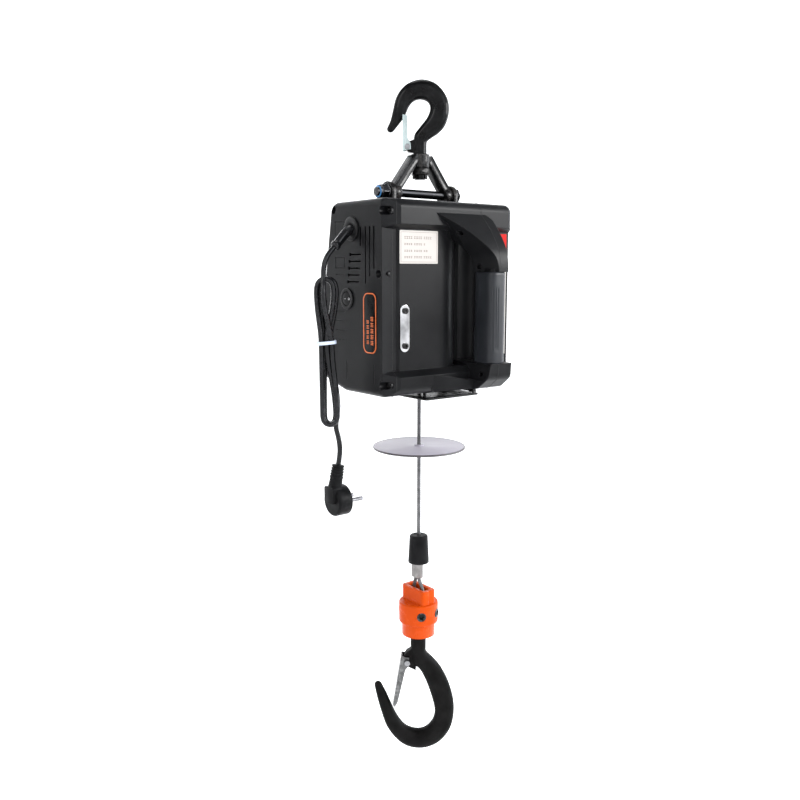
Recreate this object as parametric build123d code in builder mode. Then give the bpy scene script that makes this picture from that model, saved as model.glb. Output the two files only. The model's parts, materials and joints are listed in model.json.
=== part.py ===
"""Portable electric wire rope hoist, hung from a swivel hook.

Frame: the origin is the seat of the top hook, +Z is up, +X runs along the hanger axle and the
handle faces -Y. The rope falls along the Z axis. All sizes are in millimetres.
"""

import os
from math import acos, asin, atan2, cos, degrees, hypot, pi, radians, sin, tan

from build123d import *

os.makedirs("parts", exist_ok=True)

# ---------------------------------------------------------------- driving dimensions
HOOK_TURN = 38.0  # rest angle of both swivel hooks about Z, degrees
AXLE_Z = -110.0
AXLE_R = 5.0

CASE_LEFT = -101.0
CASE_RIGHT = 96.0
CASE_FRONT = -64.0
CASE_TOP = -122.0
CASE_BOTTOM = -344.0
CASE_BACK_TOP = 45.0
CASE_BACK_LOW = 79.0
WALL = 3.0
COVER_X = -84.0  # joint between the end cover and the left shell
RIDGE_Y = -57.5  # upright ridge between the end face and the slanted facet
FACET_X = -79.0  # where the facet meets the front of the rims
PANEL_X = -75.0  # left edge of the recessed front panel
SPLIT_X = 42.0  # joint between the two shells, through the handle

WAIST_Y = -56.0  # recessed front panel between the two rims
WAIST_TOP = -155.0
WAIST_LOW = -315.0
TROUGH_Y = -24.0  # deepest line of the finger trough

GRIP_HALF = 13.0
GRIP_FRONT = -98.0
GRIP_BACK = -64.0
GRIP_TOP = -203.0
GRIP_LOW = -311.0
ARM_SLANT = radians(18)  # how far the arm's left side leans from front to back

PLATE_X = 48.0  # middle plane of each steel side plate
PLATE_T = 6.0
MOTOR_Y, MOTOR_Z = 14.0, -198.0
DRUM_Y, DRUM_Z = 26.7, -265.0  # the rope leaves the drum straight down the Z axis

ROPE_R = 2.5
ACTUATOR_X, ACTUATOR_Y = -21.0, -36.0  # limit lever's pin under the limit switch
DISC_Z = -422.0
DISC_R = 58.0
CORD_R = 3.5

PRESSURE = radians(25)
FINE_MODULE = 1.0
COARSE_MODULE = 1.25
PINION_TEETH = 12
WHEEL_TEETH = 60
DRUM_TEETH = 48


# ---------------------------------------------------------------- shared geometry
def axis_plane(x, y, z):
    """Plane square to X whose sketch coordinates are Y and Z, centred on a shaft."""
    return Plane(origin=(x, y, z), x_dir=(0, 1, 0), z_dir=(1, 0, 0))


def turned_plane(turn, height=0.0):
    """Upright plane turned about Z: sketch x runs to the right, sketch y runs up."""
    angle = radians(turn)
    return Plane(
        origin=(0, 0, height),
        x_dir=(cos(angle), -sin(angle), 0),
        z_dir=(-sin(angle), -cos(angle), 0),
    )


HOOK_PLANE = turned_plane(HOOK_TURN)


def shaft_along_x(x0, x1, y, z, radius, bore=0.0):
    """Round bar or ring from x0 to x1."""
    with BuildPart() as bar:
        with BuildSketch(axis_plane(x0, y, z)):
            Circle(radius)
            if bore:
                Circle(bore, mode=Mode.SUBTRACT)
        extrude(amount=x1 - x0)
    return bar.part


def involute(angle):
    return tan(angle) - angle


def gear_outline(teeth, module, first_tooth):
    """Closed list of points of a spur gear with short teeth and a little backlash."""
    pitch_r = teeth * module / 2
    base_r = pitch_r * cos(PRESSURE)
    root_r = pitch_r - 1.1 * module
    tip_r = pitch_r + 0.85 * module
    half_pitch_angle = pi / (2 * teeth) - 0.05 * module / pitch_r
    flank = [root_r + (tip_r - root_r) * step / 4 for step in range(5)]
    points = []
    for tooth in range(teeth):
        centre = first_tooth + 2 * pi * tooth / teeth
        half_angles = []
        for r in flank:
            roll = acos(min(1.0, base_r / r))
            half_angles.append(half_pitch_angle + involute(PRESSURE) - involute(roll))
        for r, half in zip(flank, half_angles):
            points.append((r * cos(centre - half), r * sin(centre - half)))
        for r, half in zip(reversed(flank), reversed(half_angles)):
            points.append((r * cos(centre + half), r * sin(centre + half)))
    return points


def spur_gear(x0, x1, y, z, teeth, module, first_tooth, bore, web_r=0.0):
    """Spur gear on a shaft along X, its web thinned on both faces out to web_r."""
    with BuildPart() as gear:
        with BuildSketch(axis_plane(x0, y, z)):
            with BuildLine():
                Polyline(*gear_outline(teeth, module, first_tooth), close=True)
            make_face()
            Circle(bore, mode=Mode.SUBTRACT)
        extrude(amount=x1 - x0)
        if web_r:
            for face_x, depth in ((x0, 2.5), (x1, -2.5)):
                with BuildSketch(axis_plane(face_x, y, z)):
                    Circle(web_r)
                    Circle(bore + 5, mode=Mode.SUBTRACT)
                extrude(amount=depth, mode=Mode.SUBTRACT)
    return gear.part


# The intermediate shaft meshes with both the motor pinion and the drum gear.
STAGE_1 = FINE_MODULE * (PINION_TEETH + WHEEL_TEETH) / 2
STAGE_2 = COARSE_MODULE * (PINION_TEETH + DRUM_TEETH) / 2
SPAN = hypot(DRUM_Y - MOTOR_Y, DRUM_Z - MOTOR_Z)
SPAN_ANGLE = atan2(DRUM_Z - MOTOR_Z, DRUM_Y - MOTOR_Y)
ALONG = (STAGE_1**2 - STAGE_2**2 + SPAN**2) / (2 * SPAN)
ACROSS = (STAGE_1**2 - ALONG**2) ** 0.5
IDLER_Y = MOTOR_Y + ALONG * cos(SPAN_ANGLE) + ACROSS * sin(SPAN_ANGLE)
IDLER_Z = MOTOR_Z + ALONG * sin(SPAN_ANGLE) - ACROSS * cos(SPAN_ANGLE)
TO_IDLER = atan2(IDLER_Z - MOTOR_Z, IDLER_Y - MOTOR_Y)
TO_DRUM = atan2(DRUM_Z - IDLER_Z, DRUM_Y - IDLER_Y)


# ---------------------------------------------------------------- casing forms
def side_profile(inset):
    """Casing outline seen along X, as sketch points and corner radii."""
    points = [
        (CASE_FRONT + inset, CASE_TOP - inset),
        (CASE_FRONT + inset, CASE_BOTTOM + inset),
        (20, CASE_BOTTOM + inset),
        (60 - inset / 2, CASE_BOTTOM + 11 + inset),
        (CASE_BACK_LOW - inset, CASE_BOTTOM + 28 + inset / 2),
        (CASE_BACK_TOP - inset, CASE_TOP - inset),
    ]
    radii = [10 - inset, 12 - inset, 20, 12, 12, 14 - inset]
    return points, radii


def case_block(inset):
    """Casing form before the waist is cut, shrunk on every side by inset."""
    points, radii = side_profile(inset)
    with BuildPart() as block:
        with BuildSketch(Plane.YZ.offset(CASE_LEFT + inset)):
            with BuildLine():
                FilletPolyline(*points, radius=radii, close=True)
            make_face()
        extrude(amount=CASE_RIGHT - CASE_LEFT - 2 * inset)
        fillet(block.faces().sort_by(Axis.X)[-1].edges(), 9 - inset)
        fillet(block.faces().sort_by(Axis.X)[0].edges(), 7 - inset)
        # Slanted facet between the end cover's face and the front.
        with BuildSketch(Plane.XY.offset(CASE_BOTTOM - 10)):
            with BuildLine():
                Polyline(
                    (CASE_LEFT + inset, RIDGE_Y + 0.74 * inset),
                    (FACET_X, CASE_FRONT + inset),
                    (FACET_X, CASE_FRONT - 30),
                    (CASE_LEFT - 30, CASE_FRONT - 30),
                    (CASE_LEFT - 30, RIDGE_Y + 0.74 * inset),
                    close=True,
                )
            make_face()
        extrude(amount=260, mode=Mode.SUBTRACT)
    return block.part


def waist_cutter(grow):
    """Space in front of the recessed panel and the finger trough, grown by grow."""
    with BuildPart() as cutter:
        with BuildSketch(Plane.XY.offset(CASE_BOTTOM)):
            with BuildLine():
                Polyline(
                    (CASE_LEFT - 20, RIDGE_Y + grow),
                    (CASE_LEFT, RIDGE_Y + grow),
                    (PANEL_X - 3, WAIST_Y + 2.5 + grow),
                    (PANEL_X, WAIST_Y + grow),
                    (-15, WAIST_Y + grow),
                )
                Spline(
                    (-15, WAIST_Y + grow),
                    (16, -45 + grow),
                    (SPLIT_X, TROUGH_Y + grow),
                    (56, -29 + grow),
                    (66 + grow / 2, WAIST_Y + grow),
                    tangents=[(1, 0), (0.3, -1)],
                )
                Polyline(
                    (66 + grow / 2, WAIST_Y + grow),
                    (CASE_RIGHT + 20, WAIST_Y + grow),
                    (CASE_RIGHT + 20, -130),
                    (CASE_LEFT - 20, -130),
                    (CASE_LEFT - 20, RIDGE_Y + grow),
                )
            make_face()
        extrude(amount=CASE_TOP - CASE_BOTTOM)
        with BuildSketch(Plane.YZ.offset(CASE_LEFT - 20)):
            with BuildLine():
                Polyline(
                    (0, WAIST_TOP + grow),
                    (WAIST_Y + grow, WAIST_TOP + grow),
                    (CASE_FRONT - 60, WAIST_TOP + 42 + grow),
                    (CASE_FRONT - 60, WAIST_LOW - 60 - grow),
                    (WAIST_Y + grow, WAIST_LOW - grow),
                    (0, WAIST_LOW - grow),
                    close=True,
                )
            make_face()
        extrude(amount=CASE_RIGHT - CASE_LEFT + 40, mode=Mode.INTERSECT)
    return cutter.part


def handle_form():
    """Upper arm, grip bar and base of the handle as one solid."""
    with BuildPart() as handle:
        with BuildSketch(Plane.YZ.offset(-45)):
            with BuildLine():
                Spline(
                    (-50, CASE_TOP - 1),
                    (-62, -134),
                    (-77, -150),
                    (-91, -170),
                    (GRIP_FRONT, GRIP_TOP),
                    tangents=[(-1, -0.9), (0, -1)],
                )
                Line((GRIP_FRONT, GRIP_TOP), (GRIP_BACK, GRIP_TOP))
                Spline(
                    (GRIP_BACK, GRIP_TOP),
                    (-65, -186),
                    (-59, -172),
                    (-46, -165),
                    (-30, -162),
                    tangents=[(0, 1), (1, 0.2)],
                )
                Polyline((-30, -162), (-30, CASE_TOP - 8), (-50, CASE_TOP - 1))
            make_face()
        extrude(amount=115)
        # Front view of the arm: a broad gusset that narrows to the grip. Its left side
        # slants to the right towards the front.
        with BuildPart(mode=Mode.INTERSECT):
            with BuildSketch(Plane.XZ.offset(-GRIP_BACK)) as gusset:
                with BuildLine():
                    Spline(
                        (-44, CASE_TOP - 3),
                        (-24, -139),
                        (-5, -153),
                        (10, -168),
                        (24, -184),
                        (SPLIT_X - GRIP_HALF, GRIP_TOP),
                        tangents=[(1, -0.35), (0.1, -1)],
                    )
                    Polyline(
                        (SPLIT_X - GRIP_HALF, GRIP_TOP),
                        (SPLIT_X + GRIP_HALF, GRIP_TOP),
                        (SPLIT_X + GRIP_HALF, -150),
                    )
                    Spline(
                        (SPLIT_X + GRIP_HALF, -150),
                        (46, -134),
                        (26, CASE_TOP),
                        tangents=[(0, 1), (-1, 0.5)],
                    )
                    Polyline((26, CASE_TOP), (-44, CASE_TOP), (-44, CASE_TOP - 3))
                make_face()
            extrude(gusset.sketch, amount=-90)
            extrude(amount=40, dir=(sin(ARM_SLANT), -cos(ARM_SLANT), 0))
            with BuildSketch(Plane.YZ.offset(SPLIT_X + GRIP_HALF)):
                Rectangle(600, 600)
            extrude(amount=60, mode=Mode.SUBTRACT)
        # Base under the grip, with a wedge that runs out along the lower rim.
        with BuildSketch(Plane.XZ.offset(30)):
            with BuildLine():
                Polyline(
                    (-38, WAIST_LOW - 6),
                    (SPLIT_X - GRIP_HALF - 4, WAIST_LOW - 16),
                    (SPLIT_X - GRIP_HALF, GRIP_LOW),
                    (SPLIT_X + GRIP_HALF + 4, GRIP_LOW),
                    (SPLIT_X + GRIP_HALF + 8, CASE_BOTTOM + 6),
                    (SPLIT_X + GRIP_HALF + 2, CASE_BOTTOM + 1),
                    (-30, CASE_BOTTOM + 2),
                    close=True,
                )
            make_face()
        extrude(amount=70)
        with BuildSketch(Plane.YZ.offset(SPLIT_X - GRIP_HALF)):
            with BuildLine():
                FilletPolyline(
                    (GRIP_FRONT, GRIP_LOW),
                    (GRIP_FRONT + 1, GRIP_LOW - 17),
                    (GRIP_FRONT + 18, CASE_BOTTOM + 2),
                    (-30, CASE_BOTTOM + 2),
                    (-30, GRIP_LOW),
                    radius=[0, 10, 12, 0, 0],
                    close=True,
                )
            make_face()
        extrude(amount=2 * GRIP_HALF + 8)
        # Trim the base to its curved front, seen from the side.
        with BuildSketch(Plane.YZ.offset(-60)):
            with BuildLine():
                FilletPolyline(
                    (-150, GRIP_LOW + 0.001),
                    (-150, CASE_BOTTOM - 40),
                    (-30, CASE_BOTTOM - 40),
                    (-30, CASE_BOTTOM + 2),
                    (GRIP_FRONT + 18, CASE_BOTTOM + 2),
                    (GRIP_FRONT + 1, GRIP_LOW - 17),
                    (GRIP_FRONT, GRIP_LOW + 0.001),
                    radius=[0, 0, 0, 0, 12, 10, 0],
                    close=True,
                )
            make_face()
        extrude(amount=180, mode=Mode.SUBTRACT)
        # The wedge grows out of the rim from nothing.
        with BuildSketch(Plane.XY.offset(CASE_BOTTOM - 5)):
            with BuildLine():
                Polyline(
                    (-60, CASE_FRONT + 1),
                    (-36, CASE_FRONT + 1),
                    (SPLIT_X - GRIP_HALF - 6, CASE_FRONT - 9),
                    (SPLIT_X - GRIP_HALF, CASE_FRONT - 60),
                    (-60, CASE_FRONT - 60),
                    close=True,
                )
            make_face()
        extrude(amount=45, mode=Mode.SUBTRACT)
        # Bar inside the grip.
        with BuildSketch(Plane.XY.offset(GRIP_LOW - 4)):
            with Locations((SPLIT_X, (GRIP_FRONT + GRIP_BACK) / 2)):
                RectangleRounded(16, 24, 5)
        extrude(amount=GRIP_TOP - GRIP_LOW + 8)
    return handle.part


NEAR_SCREWS = [(-58, -136), (-51.5, -205), (-57, -330)]
FAR_SCREWS = [(37, -131), (57.5, -240), (61, -321)]
SCREW_POINTS = NEAR_SCREWS + FAR_SCREWS
HANDLE_SCREWS = [(-71, -158), (-73, -197), (-84, -324)]
STRIP_X, STRIP_Z = -68.0, -266.5
STRIP_SCREWS = [(STRIP_X, STRIP_Z + 20), (STRIP_X, STRIP_Z - 20)]

with BuildPart() as cavity:
    add(case_block(WALL))
    add(waist_cutter(WALL), mode=Mode.SUBTRACT)

with BuildPart() as waisted_block:
    add(case_block(0))
    add(waist_cutter(0), mode=Mode.SUBTRACT)

with BuildPart() as screw_posts:
    for y, z in SCREW_POINTS:
        add(shaft_along_x(CASE_LEFT + 1, -60, y, z, 6.6))
    add(waisted_block.part, mode=Mode.INTERSECT)

LUG_SLOT_Y = 13.3
with BuildPart() as casing_openings:
    # Slots in the top for the two lug plates.
    with BuildSketch(Plane.XY.offset(CASE_TOP - 20)):
        with Locations((-PLATE_X, 0), (PLATE_X, 0)):
            Rectangle(PLATE_T + 1, 2 * LUG_SLOT_Y)
    extrude(amount=30)
    # Rope outlet, and the hole for the limit lever's pin.
    with BuildSketch(Plane.XY.offset(CASE_BOTTOM - 10)):
        Circle(11.1)
        with Locations((ACTUATOR_X, ACTUATOR_Y)):
            Circle(3.4)
    extrude(amount=20)
    # Counterbores and clearance holes of the end cover's screws.
    for y, z in SCREW_POINTS:
        with BuildSketch(axis_plane(CASE_LEFT - 20, y, z)):
            Circle(4.8)
        extrude(amount=COVER_X - 4 - CASE_LEFT + 20)
        with BuildSketch(axis_plane(CASE_LEFT - 20, y, z)):
            Circle(1.5)
        extrude(amount=60)
    # Handle screws, entered from the left side of the handle.
    for y, z in HANDLE_SCREWS:
        with BuildSketch(axis_plane(-20, y, z)):
            Circle(3.0)
        extrude(amount=SPLIT_X - GRIP_HALF + 8 + 20)
        with BuildSketch(axis_plane(-20, y, z)):
            Circle(1.6)
        extrude(amount=SPLIT_X + 8 + 20)

GLAND_Y, GLAND_Z = 0.0, -154.0
ROCKER_Y, ROCKER_Z = 9.6, -234.0
BADGE_Y, BADGE_Z = -35.0, -260.5
BADGE_W, BADGE_H, BADGE_R = 25.0, 69.0, 9.0
GROOVE, GROOVE_DEPTH = 0.9, 0.7
with BuildPart() as face_openings:
    with BuildSketch(Plane.YZ.offset(CASE_LEFT - 5)):
        with Locations((GLAND_Y, GLAND_Z)):
            Circle(9.1)
        with Locations((ROCKER_Y, ROCKER_Z)):
            Circle(10.1)
        # Four upright vent slots of different length.
        for slot_y, slot_low in ((-17, -174), (-27, -216), (-35, -208), (-43, -200)):
            with Locations((slot_y, (slot_low - 152) / 2)):
                SlotOverall(-152 - slot_low, 2.4, rotation=90)
        # Five short louvres, each with a round hole at its end.
        for row in range(5):
            louvre_z = -183 - 7.8 * row
            hole_y = 3.0 + 1.2 * row
            with Locations((hole_y, louvre_z)):
                Circle(2.1)
            with Locations((hole_y - 11, louvre_z)):
                SlotOverall(22, 1.6)
    extrude(amount=WALL + 8)
    # Shallow seat for the badge.
    with BuildSketch(Plane.YZ.offset(CASE_LEFT - 5)):
        with Locations((BADGE_Y, BADGE_Z)):
            RectangleRounded(BADGE_W, BADGE_H, BADGE_R)
    extrude(amount=5.8)
    # Moulded outlines and grooves, all shallow.
    with BuildSketch(Plane.YZ.offset(CASE_LEFT - 5)):
        for panel_z, panel_height in ((-152, 15), (-192, 13)):
            with Locations((24, panel_z)):
                Rectangle(20, panel_height)
                Rectangle(20 - 2 * GROOVE, panel_height - 2 * GROOVE, mode=Mode.SUBTRACT)
        for groove_z in (-206, -249, -260, -271, -282):
            with Locations((24, groove_z)):
                Rectangle(18, GROOVE)
        for groove_y in (12, -42):
            with Locations((groove_y, -318)):
                Rectangle(GROOVE, 22)
    extrude(amount=5 + GROOVE_DEPTH)

with BuildPart() as casing:
    add(waisted_block.part)
    add(handle_form())
    add(cavity.part, mode=Mode.SUBTRACT)
    add(screw_posts.part)
    add(casing_openings.part, mode=Mode.SUBTRACT)
    add(face_openings.part, mode=Mode.SUBTRACT)

with BuildPart() as end_cover:
    add(casing.part)
    split(bisect_by=Plane.YZ.offset(COVER_X), keep=Keep.BOTTOM)
end_cover.part.label = "end_cover"
export_step(end_cover.part, "parts/end_cover.step")

with BuildPart() as left_shell:
    add(casing.part)
    split(bisect_by=Plane.YZ.offset(COVER_X), keep=Keep.TOP)
    split(bisect_by=Plane.YZ.offset(SPLIT_X), keep=Keep.BOTTOM)
left_shell.part.label = "left_shell"
export_step(left_shell.part, "parts/left_shell.step")

with BuildPart() as right_shell:
    add(casing.part)
    split(bisect_by=Plane.YZ.offset(SPLIT_X), keep=Keep.TOP)
right_shell.part.label = "right_shell"
export_step(right_shell.part, "parts/right_shell.step")

with BuildPart() as handle_grip:
    with BuildSketch(Plane.XY.offset(GRIP_LOW)):
        with Locations((SPLIT_X, (GRIP_FRONT + GRIP_BACK) / 2)):
            RectangleRounded(2 * GRIP_HALF, GRIP_BACK - GRIP_FRONT, 11)
            RectangleRounded(16, 24, 5, mode=Mode.SUBTRACT)
    extrude(amount=GRIP_TOP - GRIP_LOW)
    # Finger swell on the lower inner side.
    with BuildSketch(Plane.XY.offset(GRIP_LOW)):
        with Locations((SPLIT_X, GRIP_BACK - 7)):
            RectangleRounded(2 * GRIP_HALF - 2, 22, 9)
        with Locations((SPLIT_X, (GRIP_FRONT + GRIP_BACK) / 2)):
            RectangleRounded(16, 24, 5, mode=Mode.SUBTRACT)
    extrude(amount=44)
handle_grip.part.label = "handle_grip"
export_step(handle_grip.part, "parts/handle_grip.step")

with BuildPart() as casing_screws:
    for y, z in SCREW_POINTS:
        with BuildSketch(axis_plane(COVER_X - 4, y, z)):
            Circle(3.9)
        extrude(amount=-2.6)
        with BuildSketch(axis_plane(COVER_X - 4, y, z)):
            Circle(1.4)
        extrude(amount=24)
        with BuildSketch(axis_plane(COVER_X - 6.6, y, z)):
            Rectangle(4.6, 1.1)
            Rectangle(1.1, 4.6)
        extrude(amount=1.4, mode=Mode.SUBTRACT)
    for y, z in HANDLE_SCREWS:
        with BuildSketch(axis_plane(SPLIT_X - GRIP_HALF + 8, y, z)):
            Circle(2.8)
        extrude(amount=-2.2)
        with BuildSketch(axis_plane(SPLIT_X - GRIP_HALF + 8, y, z)):
            Circle(1.5)
        extrude(amount=11)
    # The two on the chrome strip.
    with BuildSketch(Plane.XZ.offset(-WAIST_Y + 1.6)):
        with Locations(*STRIP_SCREWS):
            Circle(3.6)
    extrude(amount=1.8)
    with BuildSketch(Plane.XZ.offset(-WAIST_Y + 3.4)):
        with Locations(*STRIP_SCREWS):
            RegularPolygon(1.5, 6)
    extrude(amount=-1.2, mode=Mode.SUBTRACT)
casing_screws.part.label = "casing_screws"
export_step(casing_screws.part, "parts/casing_screws.step")

# ---------------------------------------------------------------- frame inside the casing
PLATE_OUTLINE = [
    (12.5, AXLE_Z - 24),
    (38, -142),
    (52, -205),
    (62, -260),
    (68, -298),
    (62, -314),
    (0, -306),
    (-17, -258),
    (-17, -140),
    (-12.5, AXLE_Z - 24),
]
TIE_RODS = [(0, -142), (38, -158), (-12, -252), (58, -302)]
SPACERS = [(0, -150), (42, -176), (54, -231), (2, -294)]
BUSH_R = 8.0
BEARING_R = 14.0


def side_plate(x0, motor_hole_r):
    """Steel plate with a lug at its top and seats for the shafts."""
    with BuildPart() as plate:
        with BuildSketch(Plane.YZ.offset(x0)):
            with BuildLine():
                Polyline(*PLATE_OUTLINE)
                Polyline((-12.5, AXLE_Z - 24), (-12.5, AXLE_Z))
                ThreePointArc((-12.5, AXLE_Z), (0, AXLE_Z + 12.5), (12.5, AXLE_Z))
                Line((12.5, AXLE_Z), (12.5, AXLE_Z - 24))
            make_face()
            with Locations((0, AXLE_Z)):
                Circle(AXLE_R + 0.05, mode=Mode.SUBTRACT)
            with Locations((DRUM_Y, DRUM_Z)):
                Circle(BEARING_R, mode=Mode.SUBTRACT)
            with Locations((MOTOR_Y, MOTOR_Z)):
                Circle(motor_hole_r, mode=Mode.SUBTRACT)
            with Locations(*TIE_RODS):
                Circle(2.5, mode=Mode.SUBTRACT)
        extrude(amount=PLATE_T)
    return plate.part


with BuildPart() as left_frame_plate:
    add(side_plate(-PLATE_X - PLATE_T / 2, BUSH_R))
left_frame_plate.part.label = "left_frame_plate"
export_step(left_frame_plate.part, "parts/left_frame_plate.step")

with BuildPart() as right_frame_plate:
    add(side_plate(PLATE_X - PLATE_T / 2, BUSH_R))
    with BuildSketch(Plane.YZ.offset(PLATE_X - PLATE_T / 2)):
        with Locations((IDLER_Y, IDLER_Z)):
            Circle(BUSH_R)
    extrude(amount=PLATE_T, mode=Mode.SUBTRACT)
right_frame_plate.part.label = "right_frame_plate"
export_step(right_frame_plate.part, "parts/right_frame_plate.step")

PLATE_INNER = PLATE_X - PLATE_T / 2
PLATE_OUTER = PLATE_X + PLATE_T / 2
COVER_PLATE_X = 79.0
with BuildPart() as tie_rods:
    for y, z in TIE_RODS:
        with BuildSketch(axis_plane(-PLATE_INNER, y, z)):
            Circle(4)
        extrude(amount=2 * PLATE_INNER)
        with BuildSketch(axis_plane(-PLATE_OUTER - 3, y, z)):
            Circle(2.45)
        extrude(amount=2 * PLATE_OUTER + 6)
    for y, z in SPACERS:
        with BuildSketch(axis_plane(PLATE_OUTER, y, z)):
            Circle(3)
        extrude(amount=COVER_PLATE_X - PLATE_OUTER)
tie_rods.part.label = "tie_rods"
export_step(tie_rods.part, "parts/tie_rods.step")

with BuildPart() as gearbox_cover:
    with BuildSketch(Plane.YZ.offset(COVER_PLATE_X)):
        with BuildLine():
            FilletPolyline(
                (-10, -142),
                (46, -166),
                (58, -232),
                (60, -300),
                (-8, -302),
                (-14, -240),
                radius=6,
                close=True,
            )
        make_face()
        with Locations((MOTOR_Y, MOTOR_Z), (IDLER_Y, IDLER_Z)):
            Circle(BUSH_R, mode=Mode.SUBTRACT)
    extrude(amount=4)
gearbox_cover.part.label = "gearbox_cover"
export_step(gearbox_cover.part, "parts/gearbox_cover.step")

DRUM_SHAFT_R = 7.0
IDLER_SHAFT_R = 5.0
ROTOR_SHAFT_R = 4.0
RUNNING = 0.06  # radial running clearance
with BuildPart() as shaft_bearings:
    for x0 in (-PLATE_OUTER, PLATE_INNER):
        add(shaft_along_x(x0, x0 + PLATE_T, DRUM_Y, DRUM_Z, BEARING_R, DRUM_SHAFT_R + RUNNING))
        add(shaft_along_x(x0, x0 + PLATE_T, MOTOR_Y, MOTOR_Z, BUSH_R, ROTOR_SHAFT_R + RUNNING))
    add(shaft_along_x(PLATE_INNER, PLATE_OUTER, IDLER_Y, IDLER_Z, BUSH_R, IDLER_SHAFT_R + RUNNING))
    add(shaft_along_x(COVER_PLATE_X, COVER_PLATE_X + 4, IDLER_Y, IDLER_Z, BUSH_R, IDLER_SHAFT_R + RUNNING))
    add(shaft_along_x(COVER_PLATE_X, COVER_PLATE_X + 4, MOTOR_Y, MOTOR_Z, BUSH_R, 3 + RUNNING))
shaft_bearings.part.label = "shaft_bearings"
export_step(shaft_bearings.part, "parts/shaft_bearings.step")

with BuildPart() as hanger_axle:
    add(shaft_along_x(-66, PLATE_OUTER + 0.5, 0, AXLE_Z, AXLE_R))
    with BuildSketch(axis_plane(PLATE_OUTER + 0.5, 0, AXLE_Z)):
        RegularPolygon(8.5, 6, major_radius=False)
    extrude(amount=6)
hanger_axle.part.label = "hanger_axle"
export_step(hanger_axle.part, "parts/hanger_axle.step")

with BuildPart() as axle_nut:
    with BuildSketch(axis_plane(-PLATE_OUTER - 1.7, 0, AXLE_Z)):
        Circle(10)
        Circle(AXLE_R + 0.05, mode=Mode.SUBTRACT)
    extrude(amount=1.5)
    with BuildSketch(axis_plane(-PLATE_OUTER - 9.7, 0, AXLE_Z)):
        RegularPolygon(8.2, 6, major_radius=False)
        Circle(AXLE_R + 0.05, mode=Mode.SUBTRACT)
    extrude(amount=8)
    with BuildSketch(axis_plane(-PLATE_OUTER - 12.2, 0, AXLE_Z)):
        Circle(7.4)
        Circle(AXLE_R + 0.05, mode=Mode.SUBTRACT)
    extrude(amount=2.5)
axle_nut.part.label = "axle_nut"
export_step(axle_nut.part, "parts/axle_nut.step")

# ---------------------------------------------------------------- drive train
with BuildPart() as rope_drum:
    add(shaft_along_x(-38, 38, DRUM_Y, DRUM_Z, 15, DRUM_SHAFT_R))
    add(shaft_along_x(-41, -38, DRUM_Y, DRUM_Z, 31, DRUM_SHAFT_R))
    add(shaft_along_x(38, 41, DRUM_Y, DRUM_Z, 31, DRUM_SHAFT_R))
rope_drum.part.label = "rope_drum"
export_step(rope_drum.part, "parts/rope_drum.step")

with BuildPart() as drum_shaft:
    add(shaft_along_x(-54, 66, DRUM_Y, DRUM_Z, DRUM_SHAFT_R))
drum_shaft.part.label = "drum_shaft"
export_step(drum_shaft.part, "parts/drum_shaft.step")

with BuildPart() as drum_gear:
    first_gap = TO_DRUM + pi + pi / DRUM_TEETH
    add(spur_gear(54, 64, DRUM_Y, DRUM_Z, DRUM_TEETH, COARSE_MODULE, first_gap, DRUM_SHAFT_R, 24))
drum_gear.part.label = "drum_gear"
export_step(drum_gear.part, "parts/drum_gear.step")

LAYER_R = 22.0  # rope centre line of the outermost full layer
TURNS = 14
OUTER_R = 26.5  # rope centre line of the part layer that the fall leaves
OUTER_TURNS = 6
with BuildPart() as rope_winding:
    with BuildSketch(Plane(origin=(0, DRUM_Y, DRUM_Z), x_dir=(1, 0, 0), z_dir=(0, -1, 0))):
        with Locations((0, (LAYER_R + 15) / 2)):
            Rectangle(2 * ROPE_R * TURNS, LAYER_R - 15)
        with Locations(*[((turn + 0.5 - TURNS / 2) * 2 * ROPE_R, LAYER_R) for turn in range(TURNS)]):
            Circle(ROPE_R - 0.02)
        with Locations((-5.4 - ROPE_R * (OUTER_TURNS - 1), (LAYER_R + OUTER_R) / 2)):
            Rectangle(2 * ROPE_R * (OUTER_TURNS - 1), OUTER_R - LAYER_R)
        with Locations(*[(-5.4 - turn * 2 * ROPE_R, OUTER_R) for turn in range(OUTER_TURNS)]):
            Circle(ROPE_R - 0.02)
    revolve(axis=Axis((0, DRUM_Y, DRUM_Z), (1, 0, 0)))
rope_winding.part.label = "rope_winding"
export_step(rope_winding.part, "parts/rope_winding.step")

with BuildPart() as idler_shaft:
    add(shaft_along_x(45.4, 83, IDLER_Y, IDLER_Z, IDLER_SHAFT_R))
    add(spur_gear(54, 64, IDLER_Y, IDLER_Z, PINION_TEETH, COARSE_MODULE, TO_DRUM, 0.5))
idler_shaft.part.label = "idler_shaft"
export_step(idler_shaft.part, "parts/idler_shaft.step")

with BuildPart() as idler_gear:
    first_gap = TO_IDLER + pi + pi / WHEEL_TEETH
    add(spur_gear(68, 76, IDLER_Y, IDLER_Z, WHEEL_TEETH, FINE_MODULE, first_gap, IDLER_SHAFT_R, 25))
idler_gear.part.label = "idler_gear"
export_step(idler_gear.part, "parts/idler_gear.step")

with BuildPart() as rotor:
    add(shaft_along_x(-66, 66, MOTOR_Y, MOTOR_Z, ROTOR_SHAFT_R))
    add(shaft_along_x(66, 83, MOTOR_Y, MOTOR_Z, 3))
    add(shaft_along_x(-24, 24, MOTOR_Y, MOTOR_Z, 15))
    add(shaft_along_x(-33, 33, MOTOR_Y, MOTOR_Z, 10))
rotor.part.label = "rotor"
export_step(rotor.part, "parts/rotor.step")

with BuildPart() as motor_pinion:
    add(spur_gear(67, 77, MOTOR_Y, MOTOR_Z, PINION_TEETH, FINE_MODULE, TO_IDLER, 3))
motor_pinion.part.label = "motor_pinion"
export_step(motor_pinion.part, "parts/motor_pinion.step")

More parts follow.
